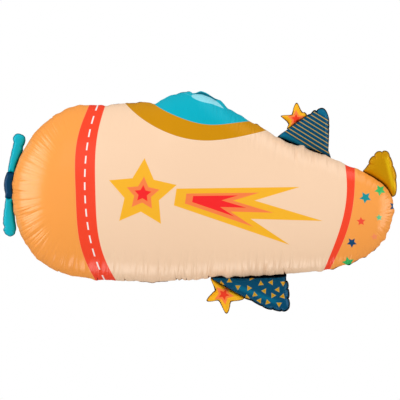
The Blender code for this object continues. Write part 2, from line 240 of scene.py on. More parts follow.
def grow_rows(bm, edges, grid, layer=None, inwards=None):
    """Extrudes the ring through the rows of the grid and returns the last row's edges and points."""
    made = []
    for i, row in enumerate(grid):
        pushed = bmesh.ops.extrude_edge_only(bm, edges=edges)["geom"]
        made = [g for g in pushed if isinstance(g, bmesh.types.BMVert)]
        edges = [g for g in pushed if isinstance(g, bmesh.types.BMEdge)]
        for j, v in enumerate(made):
            v.co = row[j]
            if layer:
                v[layer] = inwards[i, j]
    return edges, made


def sew_sheets(sheets):
    """A bmesh of sheets that share a weld, each given as its grid and its distances from the weld."""
    bm = bmesh.new()
    layer = bm.verts.layers.float.new("from_weld")
    ring = lay_ring(bm, sheets[0][0][0])
    for grid, inwards in sheets:
        _, last = grow_rows(bm, ring, grid[1:], layer, inwards[1:] / MM)
        bmesh.ops.remove_doubles(bm, verts=last, dist=CLOSING_DISTANCE)
    bmesh.ops.recalc_face_normals(bm, faces=bm.faces[:])
    return bm


def in_scene(name, data):
    made = bpy.data.objects.new(name, data)
    bpy.context.scene.collection.objects.link(made)
    return made


def finished(name, bm, body, nodes, material):
    """The bmesh as a piece that rides on its body and stands for its CAD nodes."""
    mesh = bpy.data.meshes.new(name)
    bm.to_mesh(mesh)
    bm.free()
    mesh.shade_smooth()
    mesh.materials.append(material)
    piece = in_scene(name, mesh)
    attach(piece, body)
    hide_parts(*nodes)
    print(name, len(mesh.polygons), "faces")
    return piece


# %% [markdown]
# Shader maths reads best as plain Python. This class wraps one socket: arithmetic on it adds Math nodes, and
# one method makes any other node.

# %% Shader maths
class Ink:
    def __init__(self, tree, socket):
        self.tree = tree
        self.socket = socket

    def node(self, kind, settings, inputs, output=0):
        """A new node with these settings and inputs, as one of its outputs."""
        made = self.tree.nodes.new(kind)
        for key, value in settings.items():
            setattr(made, key, value)
        for key, value in inputs.items():
            if isinstance(value, Ink):
                self.tree.links.new(value.socket, made.inputs[key])
            else:
                made.inputs[key].default_value = value
        return Ink(self.tree, made.outputs[output])

    def maths(self, operation, *others, clamp=False):
        settings = {"operation": operation, "use_clamp": clamp}
        return self.node("ShaderNodeMath", settings, dict(enumerate((self,) + others)))

    def swapped(self, operation, other):
        return self.node("ShaderNodeMath", {"operation": operation}, {0: other, 1: self})

    def parts(self):
        return [self.node("ShaderNodeSeparateXYZ", {}, {0: self}, output=k) for k in range(3)]

    def __add__(self, other):
        return self.maths("ADD", other)

    def __sub__(self, other):
        return self.maths("SUBTRACT", other)

    def __mul__(self, other):
        return self.maths("MULTIPLY", other)

    def __radd__(self, other):
        return self.swapped("ADD", other)

    def __rsub__(self, other):
        return self.swapped("SUBTRACT", other)

    def __rmul__(self, other):
        return self.swapped("MULTIPLY", other)

    def __abs__(self):
        return self.maths("ABSOLUTE")


def least(first, *others):
    """The smallest value, so of signed distances the one inside all the shapes."""
    for other in others:
        first = first.maths("MINIMUM", other)
    return first


def most(first, *others):
    """The largest value, so of signed distances the one inside any of the shapes."""
    for other in others:
        first = first.maths("MAXIMUM", other)
    return first


def between(value, low, high):
    return least(value - low, high - value)


def soft_ramp(value, start, end, low=0, high=1):
    """A value's ramp from low at the start to high at the end, with soft ends."""
    return value.node("ShaderNodeMapRange", {"interpolation_type": "SMOOTHSTEP"}, {
        "Value": value, "From Min": start, "From Max": end, "To Min": low, "To Max": high,
    })


# %% [markdown]
# Colours are mixed by masks: 1 inside a printed shape, 0 outside it, soft over a fraction of a pixel. A
# curved border is a polynomial through a few points, which needs fewer nodes than a drawn curve.

# %% Colours and borders
EDGE_SOFTNESS = 0.4


def linear(red, green, blue):
    """A colour as it looks on a screen, 0 to 255, as the linear colour that shaders take."""
    shares = [c / 255 for c in (red, green, blue)]
    return tuple(s / 12.92 if s <= 0.04045 else ((s + 0.055) / 1.055) ** 2.4 for s in shares) + (1.0,)


def inside(signed, softness=EDGE_SOFTNESS):
    """1 where the signed distance is above zero, 0 where it is below."""
    return signed.maths("MULTIPLY_ADD", 1 / softness, 0.5, clamp=True)


def over(below, colour, mask):
    """A colour laid over another where the mask is 1; either may be a fixed colour."""
    return mask.node("ShaderNodeMix", {"data_type": "RGBA"}, {0: mask, 6: below, 7: colour}, output=2)


def edged(colour, dark, edge, width, softness):
    """The colour with a painted shade towards the weld; edge is the distance from the weld in millimetres."""
    return over(colour, dark, inside(width - edge, softness))


def polynomial(value, points, degree):
    """A curve through points (from, to); the value is first scaled to about -1 to 1."""
    points = np.asarray(points, float)
    middle, spread = points[:, 0].mean(), np.ptp(points[:, 0]) / 2
    factors = np.polyfit((points[:, 0] - middle) / spread, points[:, 1], degree)
    scaled = (value - float(middle)) * float(1 / spread)
    curve = scaled * float(factors[0]) + float(factors[1])
    for factor in factors[2:]:
        curve = curve.maths("MULTIPLY_ADD", scaled, float(factor))
    return curve


# %% [markdown]
# Printed shapes are distances in photograph pixels. A star is one edge repeated: the angle round its centre
# is folded ten times with Ping-Pong, so one straight line draws all ten sides.

# %% Printed shapes
def round_centre(u, v, centre, turn):
    """The angle round a centre from a start turned by some degrees, kept above zero, and the radius."""
    across, up = u - centre[0], centre[1] - v
    angle = up.maths("ARCTAN2", across) + (4 * math.pi - math.radians(turn))
    return angle, (across * across + up * up).maths("SQRT")


def star_distance(u, v, centre, reach, turn, notch=0.5):
    """Signed distance into a five-pointed star, positive inside; turn is the first point's angle in degrees."""
    angle, radius = round_centre(u, v, centre, turn)
    folded = angle.maths("PINGPONG", math.pi / 5)
    tip = np.array([reach, 0.0])
    valley = reach * notch * np.array([math.cos(math.pi / 5), math.sin(math.pi / 5)])
    side = (valley - tip) / np.linalg.norm(valley - tip)
    normal = np.array([side[1], -side[0]])
    x, y = radius * folded.maths("COSINE"), radius * folded.maths("SINE")
    return float(tip @ normal) - (x * float(normal[0]) + y * float(normal[1]))


def triangle_distance(u, v, centre, reach, turn):
    angle, radius = round_centre(u, v, centre, turn)
    from_side = math.pi / 3 - angle.maths("PINGPONG", math.pi / 3)
    return reach / 2 - radius * from_side.maths("COSINE")


def projected(u, v, way, start):
    return u * float(way[0]) + v * float(way[1]) - float(way @ np.asarray(start, float))


def beside_line(u, v, start, end):
    """Signed distance to the right of the line, seen in the photograph."""
    run = np.subtract(end, start)
    return projected(u, v, np.array([-run[1], run[0]]) / np.linalg.norm(run), start)


def along_line(u, v, start, end):
    """Distance from the start in the line's direction, and the line's length."""
    run = np.subtract(end, start)
    length = float(np.linalg.norm(run))
    return projected(u, v, run / length, start), length


# %% [markdown]
# The foil is a satin film under a clear varnish. Cream, orange, red and yellow are opaque inks. Teal, blue
# and mustard are translucent, and light comes back tinted from the metallised film, so they are partly
# metallic and show less varnish: a print gives a colour, a share of metal and a share of varnish. A fine
# bump is the film's crinkle. In the photograph a nearer place looks larger, so the print's places are spread
# from the picture's centre by depth.

# %% The foil finish
CAMERA_DISTANCE = 9.0
PICTURE_WIDTH, PICTURE_CENTRE = 400, (200, 200)
SATIN, SATIN_SWING = 0.42, 0.05


def photograph_pixels(place):
    """The photograph's pixel (u, v) of an object's place, the same on the left and the right side."""
    x, y, z = place.parts()
    nearer = abs(y) * (1 / CAMERA_DISTANCE) + 1
    centre_x, centre_z = place_of(PICTURE_CENTRE)
    u = (x - float(centre_x)) * nearer * (1 / PIXEL) + PICTURE_CENTRE[0]
    v = (z - float(centre_z)) * nearer * (-1 / PIXEL) + PICTURE_CENTRE[1]
    return u, v


def foil_finish(name, paint, roughness=SATIN):
    """A satin foil material.

    Paint gives its colour, share of metal and varnish from the pixel and the millimetres from the weld.
    """
    material = bpy.data.materials.new(name)
    material.use_nodes = True
    tree = material.node_tree
    shader = tree.nodes["Principled BSDF"]
    place = Ink(tree, tree.nodes.new("ShaderNodeTexCoord").outputs["Object"])
    u, v = photograph_pixels(place)
    edge = place.node("ShaderNodeAttribute", {"attribute_name": "from_weld"}, {}, output="Fac")
    colour, metal, varnish = paint(u, v, edge)
    noise = "ShaderNodeTexNoise"
    cloud = place.node(noise, {}, {"Vector": place, "Scale": 9, "Detail": 2})
    rough = cloud.node("ShaderNodeMapRange", {}, {
        "Value": cloud, "From Min": 0.3, "From Max": 0.7,
        "To Min": roughness - SATIN_SWING, "To Max": roughness + SATIN_SWING,
    })
    crinkle = place.node(noise, {}, {"Vector": place, "Scale": 260, "Detail": 3, "Roughness": 0.6})
    bump = place.node("ShaderNodeBump", {}, {"Strength": 0.12, "Distance": 0.4 * MM, "Height": crinkle})
    for socket, value in {
        "Base Color": colour, "Metallic": metal, "Coat Weight": varnish, "Roughness": rough, "Normal": bump,
        "Specular IOR Level": 0.08, "Coat Roughness": 0.22, "Coat IOR": 2,
    }.items():
        if isinstance(value, Ink):
            tree.links.new(value.socket, shader.inputs[socket])
        else:
            shader.inputs[socket].default_value = value
    return material


# %% [markdown]
# The fuselage is one printed sheet on each side, with the outline and sections of the CAD model, which keep
# the gas inside: at each x an ellipse from the top edge to the bottom edge. Its half thickness follows the
# body's own line below the canopy, so the canopy rises as a dome.

# %% The fuselage's form
FUSELAGE = MM * np.array([
    (-436, 0), (-430, 50), (-405, 107), (-362, 163), (-302, 204), (-230, 214), (-137, 218), (-77, 222),
    (-32, 240), (12, 248), (42, 245), (87, 220), (132, 187), (192, 154), (258, 119), (332, 92), (402, 62),
    (440, 47), (484, 21), (503, 2), (515, -20), (517, -45), (508, -90), (478, -142), (448, -165), (402, -186),
    (332, -202), (250, -211), (150, -216), (60, -219), (-77, -230), (-212, -225), (-302, -211), (-355, -188),
    (-405, -135), (-430, -66),
])
FUSELAGE_RIDGE = MM * np.array([(-245, 0), (430, -62)])
BROW = MM * np.array([(-137, 218), (225, 131)])
BROW_SOFTNESS, BROW_REACH = 7 * MM, 400 * MM
THICKNESS_RATIO = 0.70
THINNEST = 0.001 * MM
SEAM_STEP = 1.25 * MM

outline = smooth_loop(FUSELAGE)
outline = np.roll(outline, -int(np.argmin(outline[:, 0])), axis=0)
tail = int(np.argmax(outline[:, 0]))
upper_edge = outline[:tail + 1]
lower_edge = outline[tail:][::-1]


def height_of(edge, x, **beyond):
    return np.interp(x, edge[:, 0], edge[:, 1], **beyond)


def half_thickness(x):
    """Half the fuselage's thickness at x, with a soft change where the canopy rises above the brow."""
    top = height_of(upper_edge, x)
    slope = (BROW[1, 1] - BROW[0, 1]) / (BROW[1, 0] - BROW[0, 0])
    brow = BROW[0, 1] + slope * (x - BROW[0, 0])
    soft_top = top - BROW_SOFTNESS * np.log1p(np.exp((top - brow) / BROW_SOFTNESS))
    soft_top = np.where(np.abs(x) < BROW_REACH, soft_top, top)
    return THICKNESS_RATIO * (soft_top - height_of(lower_edge, x)) / 2


def swell(x, z):
    """How far the full balloon reaches from the seam's plane at a side-view place."""
    top, bottom = height_of(upper_edge, x), height_of(lower_edge, x)
    rise = (z - (top + bottom) / 2) / (np.maximum(top - bottom, THINNEST) / 2)
    return half_thickness(x) * np.sqrt(np.clip(1 - rise**2, 0, 1))


seam, feet, seam_places, seam_length = cut_columns(outline, FUSELAGE_RIDGE, SEAM_STEP)
inward_way = (feet - seam) / np.linalg.norm(feet - seam, axis=1, keepdims=True)
print("seam", round(seam_length, 3), "m in", len(seam), "columns")

# %% [markdown]
# The seam is drawn up most at the round nose, along the belly and round the tail, where the outline bends or
# the sheets swell most, and hardly at all along the straight top. That, the deep folds, the bulges and dips,
# and where the weld peeps out are each a pixel of the photograph and a size in mm.

# %% How tightly the seam is gathered
GATHERING = [
    (13, 190, 1), (22, 150, 0.9), (42, 125, 0.6), (70, 108, 0.3), (105, 104, 0.2), (132, 103, 0.4),
    (160, 100, 0.15), (190, 91, 0.15), (212, 97, 0.45), (228, 107, 0.2), (250, 121, 0.6), (270, 132, 0.45),
    (300, 148, 0.85), (340, 163, 0.6), (365, 172, 0.35), (388, 190, 1.1), (393, 215, 1.7), (380, 243, 1.6),
    (350, 264, 0.6), (320, 271, 0.7), (285, 275, 0.9), (250, 276, 0.9), (200, 279, 0.85), (150, 281, 0.8),
    (100, 280, 0.6), (65, 272, 0.7), (40, 255, 0.9), (25, 235, 1), (15, 212, 0.9),
]
DEEP_GATHERS = [
    (98.5, 281, 16), (126, 282, 18), (177, 279.5, 20), (182.5, 279, 9), (187, 279, 12), (210, 279, 12),
    (285, 274, 24), (52.6, 119, 12), (59.6, 272, 9), (193, 93, 9),
]
BULGES = [
    (34, 133, 1.5), (48, 120, -1.5), (60, 111, -3), (80, 105, 2.5), (98, 104, -2), (107, 104, -6),
    (116, 103, -2), (134, 103, -1.2), (143, 102, 2), (155.5, 101.5, -7), (169, 96, 1), (177, 93, -2),
    (185, 91.5, -1.5), (195, 91, -5.5), (220, 101, 3), (228, 106, -4.5), (242, 116, 3), (258, 125, 2),
    (275, 135, -3.5), (286, 140.5, -3), (303, 147, 9.5), (326, 156, 3.5), (334, 159, 1), (340, 162, 3),
    (357, 168, 2), (393, 212, 4.5), (392, 221, 1.5), (389, 229, 4), (384.5, 238, 6.5), (379, 246, 2.5),
    (366, 256, 3), (350, 264, 2.5), (332, 268.5, 3.5), (320, 270.5, 4.5), (270, 275, 2), (257, 276, 2),
    (243, 277, 2.5), (228, 278, 5.5), (206, 278, 4), (197, 279, 5), (188, 280, 4), (179, 280, -1.5),
    (153, 282, 2.5), (135, 282, -2), (97, 279, 4.5), (72, 276, 2), (47, 266, -1.5), (37, 258, 2.5),
    (28, 248, -2), (12.8, 184, 2), (12.8, 198, 2.5), (14, 211, 2.5), (17, 224, 1.5),
]
NEAR_ONLY = [(199, 91.2, -8), (206, 93, -9), (214, 97, -8), (220, 278, -3)]
FAR_ONLY = [
    (158, 282, -4), (163, 282, -3), (146, 282, 1.5), (201, 91.5, 2), (207, 93.5, 2), (385, 238, 2),
]
RIM_SHOWS = [
    (112, 105.3), (118, 104.4), (127, 103.3), (133, 103), (139, 102.8), (178, 94.3), (183, 93), (188, 92.2),
    (257, 125), (263, 128.7), (374, 250.5), (364, 256.5), (356, 260.8), (350, 263.5), (337, 267.2),
    (333, 268.3), (136, 281), (142, 281.8), (148, 282.2), (154, 282.3), (160, 282), (165, 281.5),
    (174, 280.5), (179, 280),
]


def along_seam(pixel):
    """The length along the seam that is nearest to a photograph pixel."""
    return seam_places[np.argmin(np.linalg.norm(seam - place_of(pixel), axis=1))]


def bumps(places, width):
    """Smooth bumps on the seam, given as pixels with heights in mm, as one height a column."""
    height = np.zeros_like(seam_places)
    for *pixel, size in places:
        height += size * MM * bell(apart(seam_places, along_seam(pixel), seam_length), width)
    return height


knots = sorted((along_seam(pixel), strength) for *pixel, strength in GATHERING)
gathering = np.interp(seam_places, [k[0] for k in knots], [k[1] for k in knots], period=seam_length)
print(len(DEEP_GATHERS), "deep folds,", len(BULGES), "bulges and dips")

# %% [markdown]
# Beside the weld the gas pushes the foil out past it, so the seam lies in a narrow groove between two lips,
# which pass in front of the wings' roots. Every pucker pulls the weld a little in and to one side, and both
# sheets share that line.

# %% The line of the weld
SWAYS, SWAY_FADE = ((1.3, 26), (0.6, 11)), 14 * MM
PULLS, PULL_FADE = ((0.9, 14), (0.7, 7)), 12 * MM
NOTCH_DEPTH, NOTCH_WIDTH = 2.6, 2.6 * MM
BULGE_WIDTH, BULGE_FADE, BULGE_START = 10 * MM, 34 * MM, 3 * MM


def seam_wave(draw, wave):
    return wander(draw, seam_places, seam_length, wave * MM)


rng = np.random.default_rng(7)
seam_sway = MM * sum(size * seam_wave(rng, wave) for size, wave in SWAYS)
seam_pull = MM * gathering * sum(size * np.abs(seam_wave(rng, wave)) for size, wave in PULLS)
deep_notch = bumps([(*pixel, NOTCH_DEPTH) for *pixel, _ in DEEP_GATHERS], NOTCH_WIDTH)
bulge = bumps(BULGES, BULGE_WIDTH)
side_bulge = {-1: bumps(NEAR_ONLY, BULGE_WIDTH), 1: bumps(FAR_ONLY, BULGE_WIDTH)}

# %% [markdown]
# Rows are close together beside the weld, where the puckers are fine. Each layer of puckers is a spacing, a
# depth and the distance of its deepest point, in mm. A deep fold carries the groove's painted shade along
# its length.

# %% The two sheets of the fuselage
SHEET_QUARTER = 235 * MM
FIRST_ROW, ROW_GROWTH, LARGEST_ROW = 1.1 * MM, 1.12, 8 * MM
GROOVE_DEPTH, GROOVE_REACH, GROOVE_POWER = 4.6 * MM, 6.5 * MM, 1.5
LIP_FULLNESS, LIP_PLACE, LIP_WIDTH = 0.4 * MM, 12 * MM, 10 * MM
PUCKER_LAYERS = ((6, 1.0, 45), (10, 2.0, 48), (27, 3.2, 78))
PUCKER_SLANT, PUCKERS_WHOLE, PUCKERS_GONE = 0.10, 0.32, 0.66
GROUP_MEAN, GROUP_SWING, GROUP_SPACINGS = 0.8, 0.4, 5
SLIT_WIDTH, SLIT_DEPTHS, SLIT_SHADE = 1.2 * MM, {-1: 3.2 * MM, 1: 0.2 * MM}, 13
WELD_HALF = 0.25 * MM

rows, row_step = [0.0], FIRST_ROW
while rows[-1] < SHEET_QUARTER:
    rows.append(rows[-1] + row_step)
    row_step = min(row_step * ROW_GROWTH, LARGEST_ROW)
rows = np.array(rows) * SHEET_QUARTER / rows[-1]


def swollen_sheet(direction):
    """The points of one sheet without its puckers, and how far each was from the weld at first."""
    shares = np.cos(rows / SHEET_QUARTER * math.pi / 2)
    shares[-1] = 0
    flat = feet[None] + (seam - feet)[None] * shares[:, None, None]
    grid = np.stack([flat[..., 0], direction * swell(flat[..., 0], flat[..., 1]), flat[..., 1]], -1)
    inwards = distances_in(grid)
    pull = GROOVE_DEPTH * bell(inwards, GROOVE_REACH, GROOVE_POWER)
    pull -= LIP_FULLNESS * bell(inwards - LIP_PLACE, LIP_WIDTH)
    pull += (seam_pull + deep_notch) * bell(inwards, PULL_FADE, 1)
    off_weld = 1 - bell(inwards, BULGE_START, 1)
    slide(grid, inward_way, pull - (bulge + side_bulge[direction] * off_weld) * bell(inwards, BULGE_FADE))
    return grid, inwards


def puckered_sheet(direction, seed):
    """The swollen sheet with its puckers and folds, and its distances from the weld, cut short along the deep
    folds for their painted shade.
    """
    grid, inwards = swollen_sheet(direction)
    normals = outward_normals(grid, direction)
    draw = np.random.default_rng(seed)
    relative = inwards / inwards[-1] * SHEET_QUARTER
    sink = np.zeros_like(inwards)
    for spacing, deep, peak in PUCKER_LAYERS:
        puckers = draw_puckers(draw, seam_length, spacing * MM, deep * MM, peak * MM, PUCKER_SLANT)
        groups = seam_wave(draw, GROUP_SPACINGS * spacing)
        sink += sunk_by(puckers, seam_places, seam_length, relative) * (GROUP_MEAN + GROUP_SWING * groups)
    sink *= gathering * np.minimum(inwards[-1] / SHEET_QUARTER, 1)
    slits = [
        (along_seam(pixel), SLIT_WIDTH, SLIT_DEPTHS[direction], peak * MM, PUCKER_SLANT)
        for *pixel, peak in DEEP_GATHERS
    ]
    folded = sunk_by(slits, seam_places, seam_length, inwards)
    fade = eased(ramp(rows / SHEET_QUARTER, PUCKERS_GONE, PUCKERS_WHOLE))[:, None]
    grid -= normals * ((sink + folded) * fade)[..., None]
    grid[..., 1] += seam_sway * bell(inwards, SWAY_FADE, 1)
    grid[0, :, 1] += direction * WELD_HALF
    # Deep folds count as nearer the weld, so the groove's painted shade runs down them.
    return grid, inwards - SLIT_SHADE * folded


# %% [markdown]
# The print has an orange nose, a red band with white stitches, a cream body with a shooting star, a teal
# canopy in a mustard rim, a thin red band and an orange tail with small stars. The borders are side-view
# points in mm.

# %% The fuselage's inks and borders
ORANGE, RED, CREAM = linear(255, 163, 70), linear(254, 66, 30), linear(251, 213, 178)
TEAL, MUSTARD, YELLOW = linear(0, 182, 203), linear(215, 147, 0), linear(253, 184, 26)
SALMON, INNER_RED, WHITE = linear(255, 130, 64), linear(254, 22, 26), linear(250, 246, 240)
# The darker teal and mustard here are painted shade where canopy and rim meet the weld.
TEAL_LIGHT, TEAL_WELD_SHADE = linear(150, 228, 242), linear(0, 110, 130)
RIM_LINE, MUSTARD_WELD_SHADE = linear(255, 232, 205), linear(130, 84, 10)
# The groove's brown tint is painted shade, multiplied into every ink beside the weld.
GROOVE_SHADE_TINT, GROOVE_SHADE_WIDTH, GROOVE_SHADE_SOFTNESS = linear(128, 92, 70), 4.0, 3.0
VARNISH, GLASS_METAL, GLASS_VARNISH_LOSS, GLASS_EDGE = 0.32, 0.1, 0.9, 4.0


def pixels_of(places):
    """Photograph pixels of side-view places in millimetres."""
    return np.asarray(places) * MM / (PIXEL, -PIXEL) + ORIGIN_PIXEL


FRONT_BAND_FRONT = pixels_of([
    (-232, 260), (-243, 212), (-262, 175), (-275, 120), (-279, 68), (-280, 2), (-276, -62), (-270, -118),
    (-256, -172), (-232, -220), (-205, -270),
])
FRONT_BAND_BACK = pixels_of([
    (-192, 260), (-206, 208), (-215, 175), (-226, 120), (-230, 68), (-230, 2), (-226, -62), (-220, -118),
    (-207, -172), (-179, -222), (-150, -270),
])
REAR_BAND_FRONT = pixels_of([
    (388, 110), (395, 62), (400, 20), (398, -25), (387, -78), (371, -132), (342, -200), (320, -250),
])
REAR_BAND_BACK = pixels_of([
    (412, 110), (419, 52), (420, 20), (417, -25), (406, -78), (392, -126), (358, -196), (336, -250),
])
CANOPY_RIM_EDGE = pixels_of([
    (-180, 252), (-155, 216), (-113, 180), (-70, 152), (-27, 134), (16, 126), (59, 124), (102, 127),
    (159, 139), (198, 149), (250, 172),
])
CANOPY_EDGE = pixels_of([
    (-112, 252), (-80, 213), (-41, 192), (4, 172), (44, 165), (87, 164), (125, 168), (155, 172), (215, 190),
])
CANOPY_RIM_ENDS, CANOPY_ENDS, CANOPY_LINE_WIDTH = (114, 288), (141, 274), 0.55
DASH_LINE = [
    (107.3, 96.9), (132.7, 89.5), (159.7, 85.7), (186.2, 84.6), (212.7, 86.2), (239.3, 90.5), (265, 97.5),
    (276.5, 103),
]
DASH_PERIOD, DASH_START, DASH_SHARE, DASH_HALF_WIDTH = 13.26, 0.459, 0.58, 0.72

# %% [markdown]
# The star and its trail are three layers each. The trail is one outline of seven corners, drawn smaller for
# each inner layer. The canopy's pale leaf has a curved top and foot that both start blunt, as a square root
# does.

# %% The shooting star, the tail's stars and the canopy's leaf
TRAIL = [
    (176.5, 188.6), (299.8, 187), (254.6, 200.5), (322.7, 220.9), (250.8, 218.9), (289.8, 244.9),
    (173.9, 205.4),
]
TRAIL_LAYERS = [(1.0, (201, 200.8), YELLOW), (0.594, (201, 200.8), SALMON), (0.364, (202.6, 200.2), INNER_RED)]
STAR_TURN, STAR_NOTCH = 86, 0.51
STAR_LAYERS = [((142.1, 193.6), 35.6, YELLOW), ((142.8, 193.8), 17.3, SALMON), ((142.8, 193.8), 8.8, INNER_RED)]
TAIL_STARS = [
    ((365.4, 197.5), 6.1, 47, linear(0, 150, 156)), ((380.1, 190.2), 5.9, 47, linear(45, 188, 98)),
    ((379.1, 217.6), 3.4, 95, linear(90, 200, 140)), ((361, 221.4), 4.6, 92, linear(251, 76, 49)),
    ((374.4, 236.7), 3.8, 100, linear(255, 146, 90)), ((351.8, 242.6), 5.2, 54, linear(5, 73, 118)),
    ((348.2, 262.6), 6.3, 103, linear(45, 188, 98)), ((394.3, 206.2), 5.2, 0, linear(5, 73, 118)),
]
LEAF_START, LEAF_END, LEAF_TOP, LEAF_FOOT_END = (191.5, 95.8), (224.0, 108.6), 1.68, 22


def trail_distance(u, v):
    """Signed distance into the three-pointed trail: three convex spikes that share their root."""
    top, first, second_top, second_foot, third, foot, root = (
        beside_line(u, v, start, end) for start, end in zip(TRAIL, TRAIL[1:] + TRAIL[:1])
    )
    return least(top, foot, root, most(first, least(second_top, second_foot), third))


def leaf_distance(u, v):
    """Signed distance into the leaf-shaped highlight that is printed on the canopy."""
    along, length = along_line(u, v, LEAF_START, LEAF_END)
    across = beside_line(u, v, LEAF_START, LEAF_END)
    root = along.maths("SQRT")
    share = along * (1 / length)
    top = root * (1 - share * share) * LEAF_TOP + across
    foot = most(root * (1 - along * (1 / LEAF_FOOT_END)), 0.0) - across
    return least(top, foot)


# %% [markdown]
# The layers go on in the printer's order. In the groove beside the weld every ink is multiplied by a brown,
# a painted shade, so the seam shows as a darker line of the same colours.

# %% The fuselage's print
def banded(colour, u, v):
    """The orange ends and the two red bands, the front one with its white stitches."""
    front, back = (polynomial(v, edge[:, ::-1], degree=6) for edge in (FRONT_BAND_FRONT, FRONT_BAND_BACK))
    colour = over(colour, ORANGE, inside(front - u))
    colour = over(colour, RED, inside(between(u, front, back)))
    middle = polynomial(v, DASH_LINE, degree=4)
    stitch = (v * (1 / DASH_PERIOD) + DASH_START).maths("FRACT")
    stitch = (DASH_SHARE / 2 - abs(stitch - 0.5)) * DASH_PERIOD
    colour = over(colour, WHITE, inside(least(stitch, DASH_HALF_WIDTH - abs(u - middle))))
    front, back = (polynomial(v, edge[:, ::-1], degree=5) for edge in (REAR_BAND_FRONT, REAR_BAND_BACK))
    colour = over(colour, ORANGE, inside(u - back))
    return over(colour, RED, inside(between(u, front, back)))


def fuselage_print_and_painted_shade(u, v, edge):
    colour = banded(CREAM, u, v)
    for centre, reach, turn, ink in TAIL_STARS:
        colour = over(colour, ink, inside(star_distance(u, v, centre, reach, turn)))
    for centre, reach, ink in STAR_LAYERS:
        colour = over(colour, ink, inside(star_distance(u, v, centre, reach, STAR_TURN, STAR_NOTCH)))
    for size, centre, ink in TRAIL_LAYERS:
        across, down = ((value - middle) * (1 / size) + middle for value, middle in zip((u, v), centre))
        colour = over(colour, ink, inside(trail_distance(across, down)))
    # Painted shade: beside the weld every ink is multiplied by the groove's brown.
    mixing = {"data_type": "RGBA", "blend_type": "MULTIPLY"}
    groove = colour.node("ShaderNodeMix", mixing, {0: 1.0, 6: colour, 7: GROOVE_SHADE_TINT}, output=2)
    colour = edged(colour, groove, edge, GROOVE_SHADE_WIDTH, GROOVE_SHADE_SOFTNESS)
    rim = least(polynomial(u, CANOPY_RIM_EDGE, degree=6) - v, between(u, *CANOPY_RIM_ENDS))
    canopy = least(polynomial(u, CANOPY_EDGE, degree=6) - v, between(u, *CANOPY_ENDS))
    glass = inside(rim)
    colour = over(colour, RIM_LINE, inside(rim + CANOPY_LINE_WIDTH))
    # Canopy and rim darken towards the weld: painted shade.
    colour = over(colour, edged(MUSTARD, MUSTARD_WELD_SHADE, edge, GLASS_EDGE, GLASS_EDGE), glass)
    colour = over(colour, edged(TEAL, TEAL_WELD_SHADE, edge, GLASS_EDGE, GLASS_EDGE), inside(canopy))
    colour = over(colour, TEAL_LIGHT, inside(leaf_distance(u, v)))
    return colour, glass * GLASS_METAL, VARNISH - glass * GLASS_VARNISH_LOSS * VARNISH


fuselage_foil = foil_finish("fuselage_print_and_painted_shade", fuselage_print_and_painted_shade)
FIELDS = ("nose", "front_band", "body", "canopy_rim", "canopy", "rear_band", "tail")
for side, direction, seed in (("left", -1, 21), ("right", 1, 22)):
    bm = sew_sheets([puckered_sheet(direction, seed)])
    if sum(f.normal.y for f in bm.faces) * direction < 0:
        bmesh.ops.reverse_faces(bm, faces=bm.faces[:])
    nodes = [f"{field}_{side}" for field in FIELDS]
    finished(f"fuselage_sheet_{side}", bm, "fuselage", nodes, fuselage_foil)


# %% [markdown]
# The seam is a thin welded rim, a ring of its own in the groove between the sheets. Where they are drawn in
# most, it stands out past their lips and shows from the side as a thin dark line: the rim has no distances
# from the weld, so the groove's painted shade covers all of it.

# %% The welded rim
RIM_OUTER, RIM_INNER, RIM_HALF = 2.0 * MM, 7.5 * MM, 0.35 * MM
RIM_PEEP, RIM_PEEP_WIDTH = 2.5, 8.5 * MM
RUFFLE, RUFFLE_WAVE = 0.9 * MM, 9

ruffle = RUFFLE * seam_wave(rng, RUFFLE_WAVE)
ruffle -= bumps([(*pixel, RIM_PEEP) for pixel in RIM_SHOWS], RIM_PEEP_WIDTH)
weld_line = seam_pull + deep_notch - bulge


def rim_row(depth, height):
    place = seam + inward_way * (depth + weld_line)[:, None]
    return np.stack([place[:, 0], seam_sway + height, place[:, 1]], 1)


outer, inner = RIM_OUTER + ruffle, np.full(len(seam), RIM_INNER)
corners = (outer, -RIM_HALF), (inner, -RIM_HALF), (inner, RIM_HALF), (outer, RIM_HALF)
rim_rows = [rim_row(*corner) for corner in corners]
bm = bmesh.new()
first = lay_ring(bm, rim_rows[0])
last, _ = grow_rows(bm, first, rim_rows[1:])
bmesh.ops.bridge_loops(bm, edges=first + last)
bmesh.ops.recalc_face_normals(bm, faces=bm.faces[:])
# The rim wears the fuselage's finish without distances from the weld, so it is painted with the groove's shade
# all over.
finished("seam_rim", bm, "fuselage", ["seam_flange"], fuselage_foil)

# %% [markdown]
# The neck is a flat tube of clear film, left open to fill the balloon, then sealed by heat in two bands and
# tucked back along the far side. A grid is bent along its path, pressed into two ridges at the seals, and
# given the thickness of its two films.

# %% The filling neck
NECK_X, NECK_HALF_WIDTH, NECK_CORNER, NECK_FILMS = -60 * MM, 13 * MM, 5 * MM, 0.4 * MM
NECK_PATH = MM * np.array([(0.6, 2.6), (5, 0.9), (12, 1.0), (22, 2.3), (35, 4.2), (50, 6.3), (66, 8.8)])
NECK_SEALS, SEAL_HALF, SEAL_RIDGE, SIDE_SEAL = (30 * MM, 36 * MM), 1.2 * MM, 0.25 * MM, 2 * MM
RIPPLE, RIPPLE_WAVES, RIPPLE_SLANT = 0.5 * MM, 9 / (10 * MM), 2
NECK_COLOUR, NECK_FROST = linear(226, 226, 222), linear(176, 178, 180)
NECK_ROUGHNESS, NECK_VARNISH = 0.3, 0.5

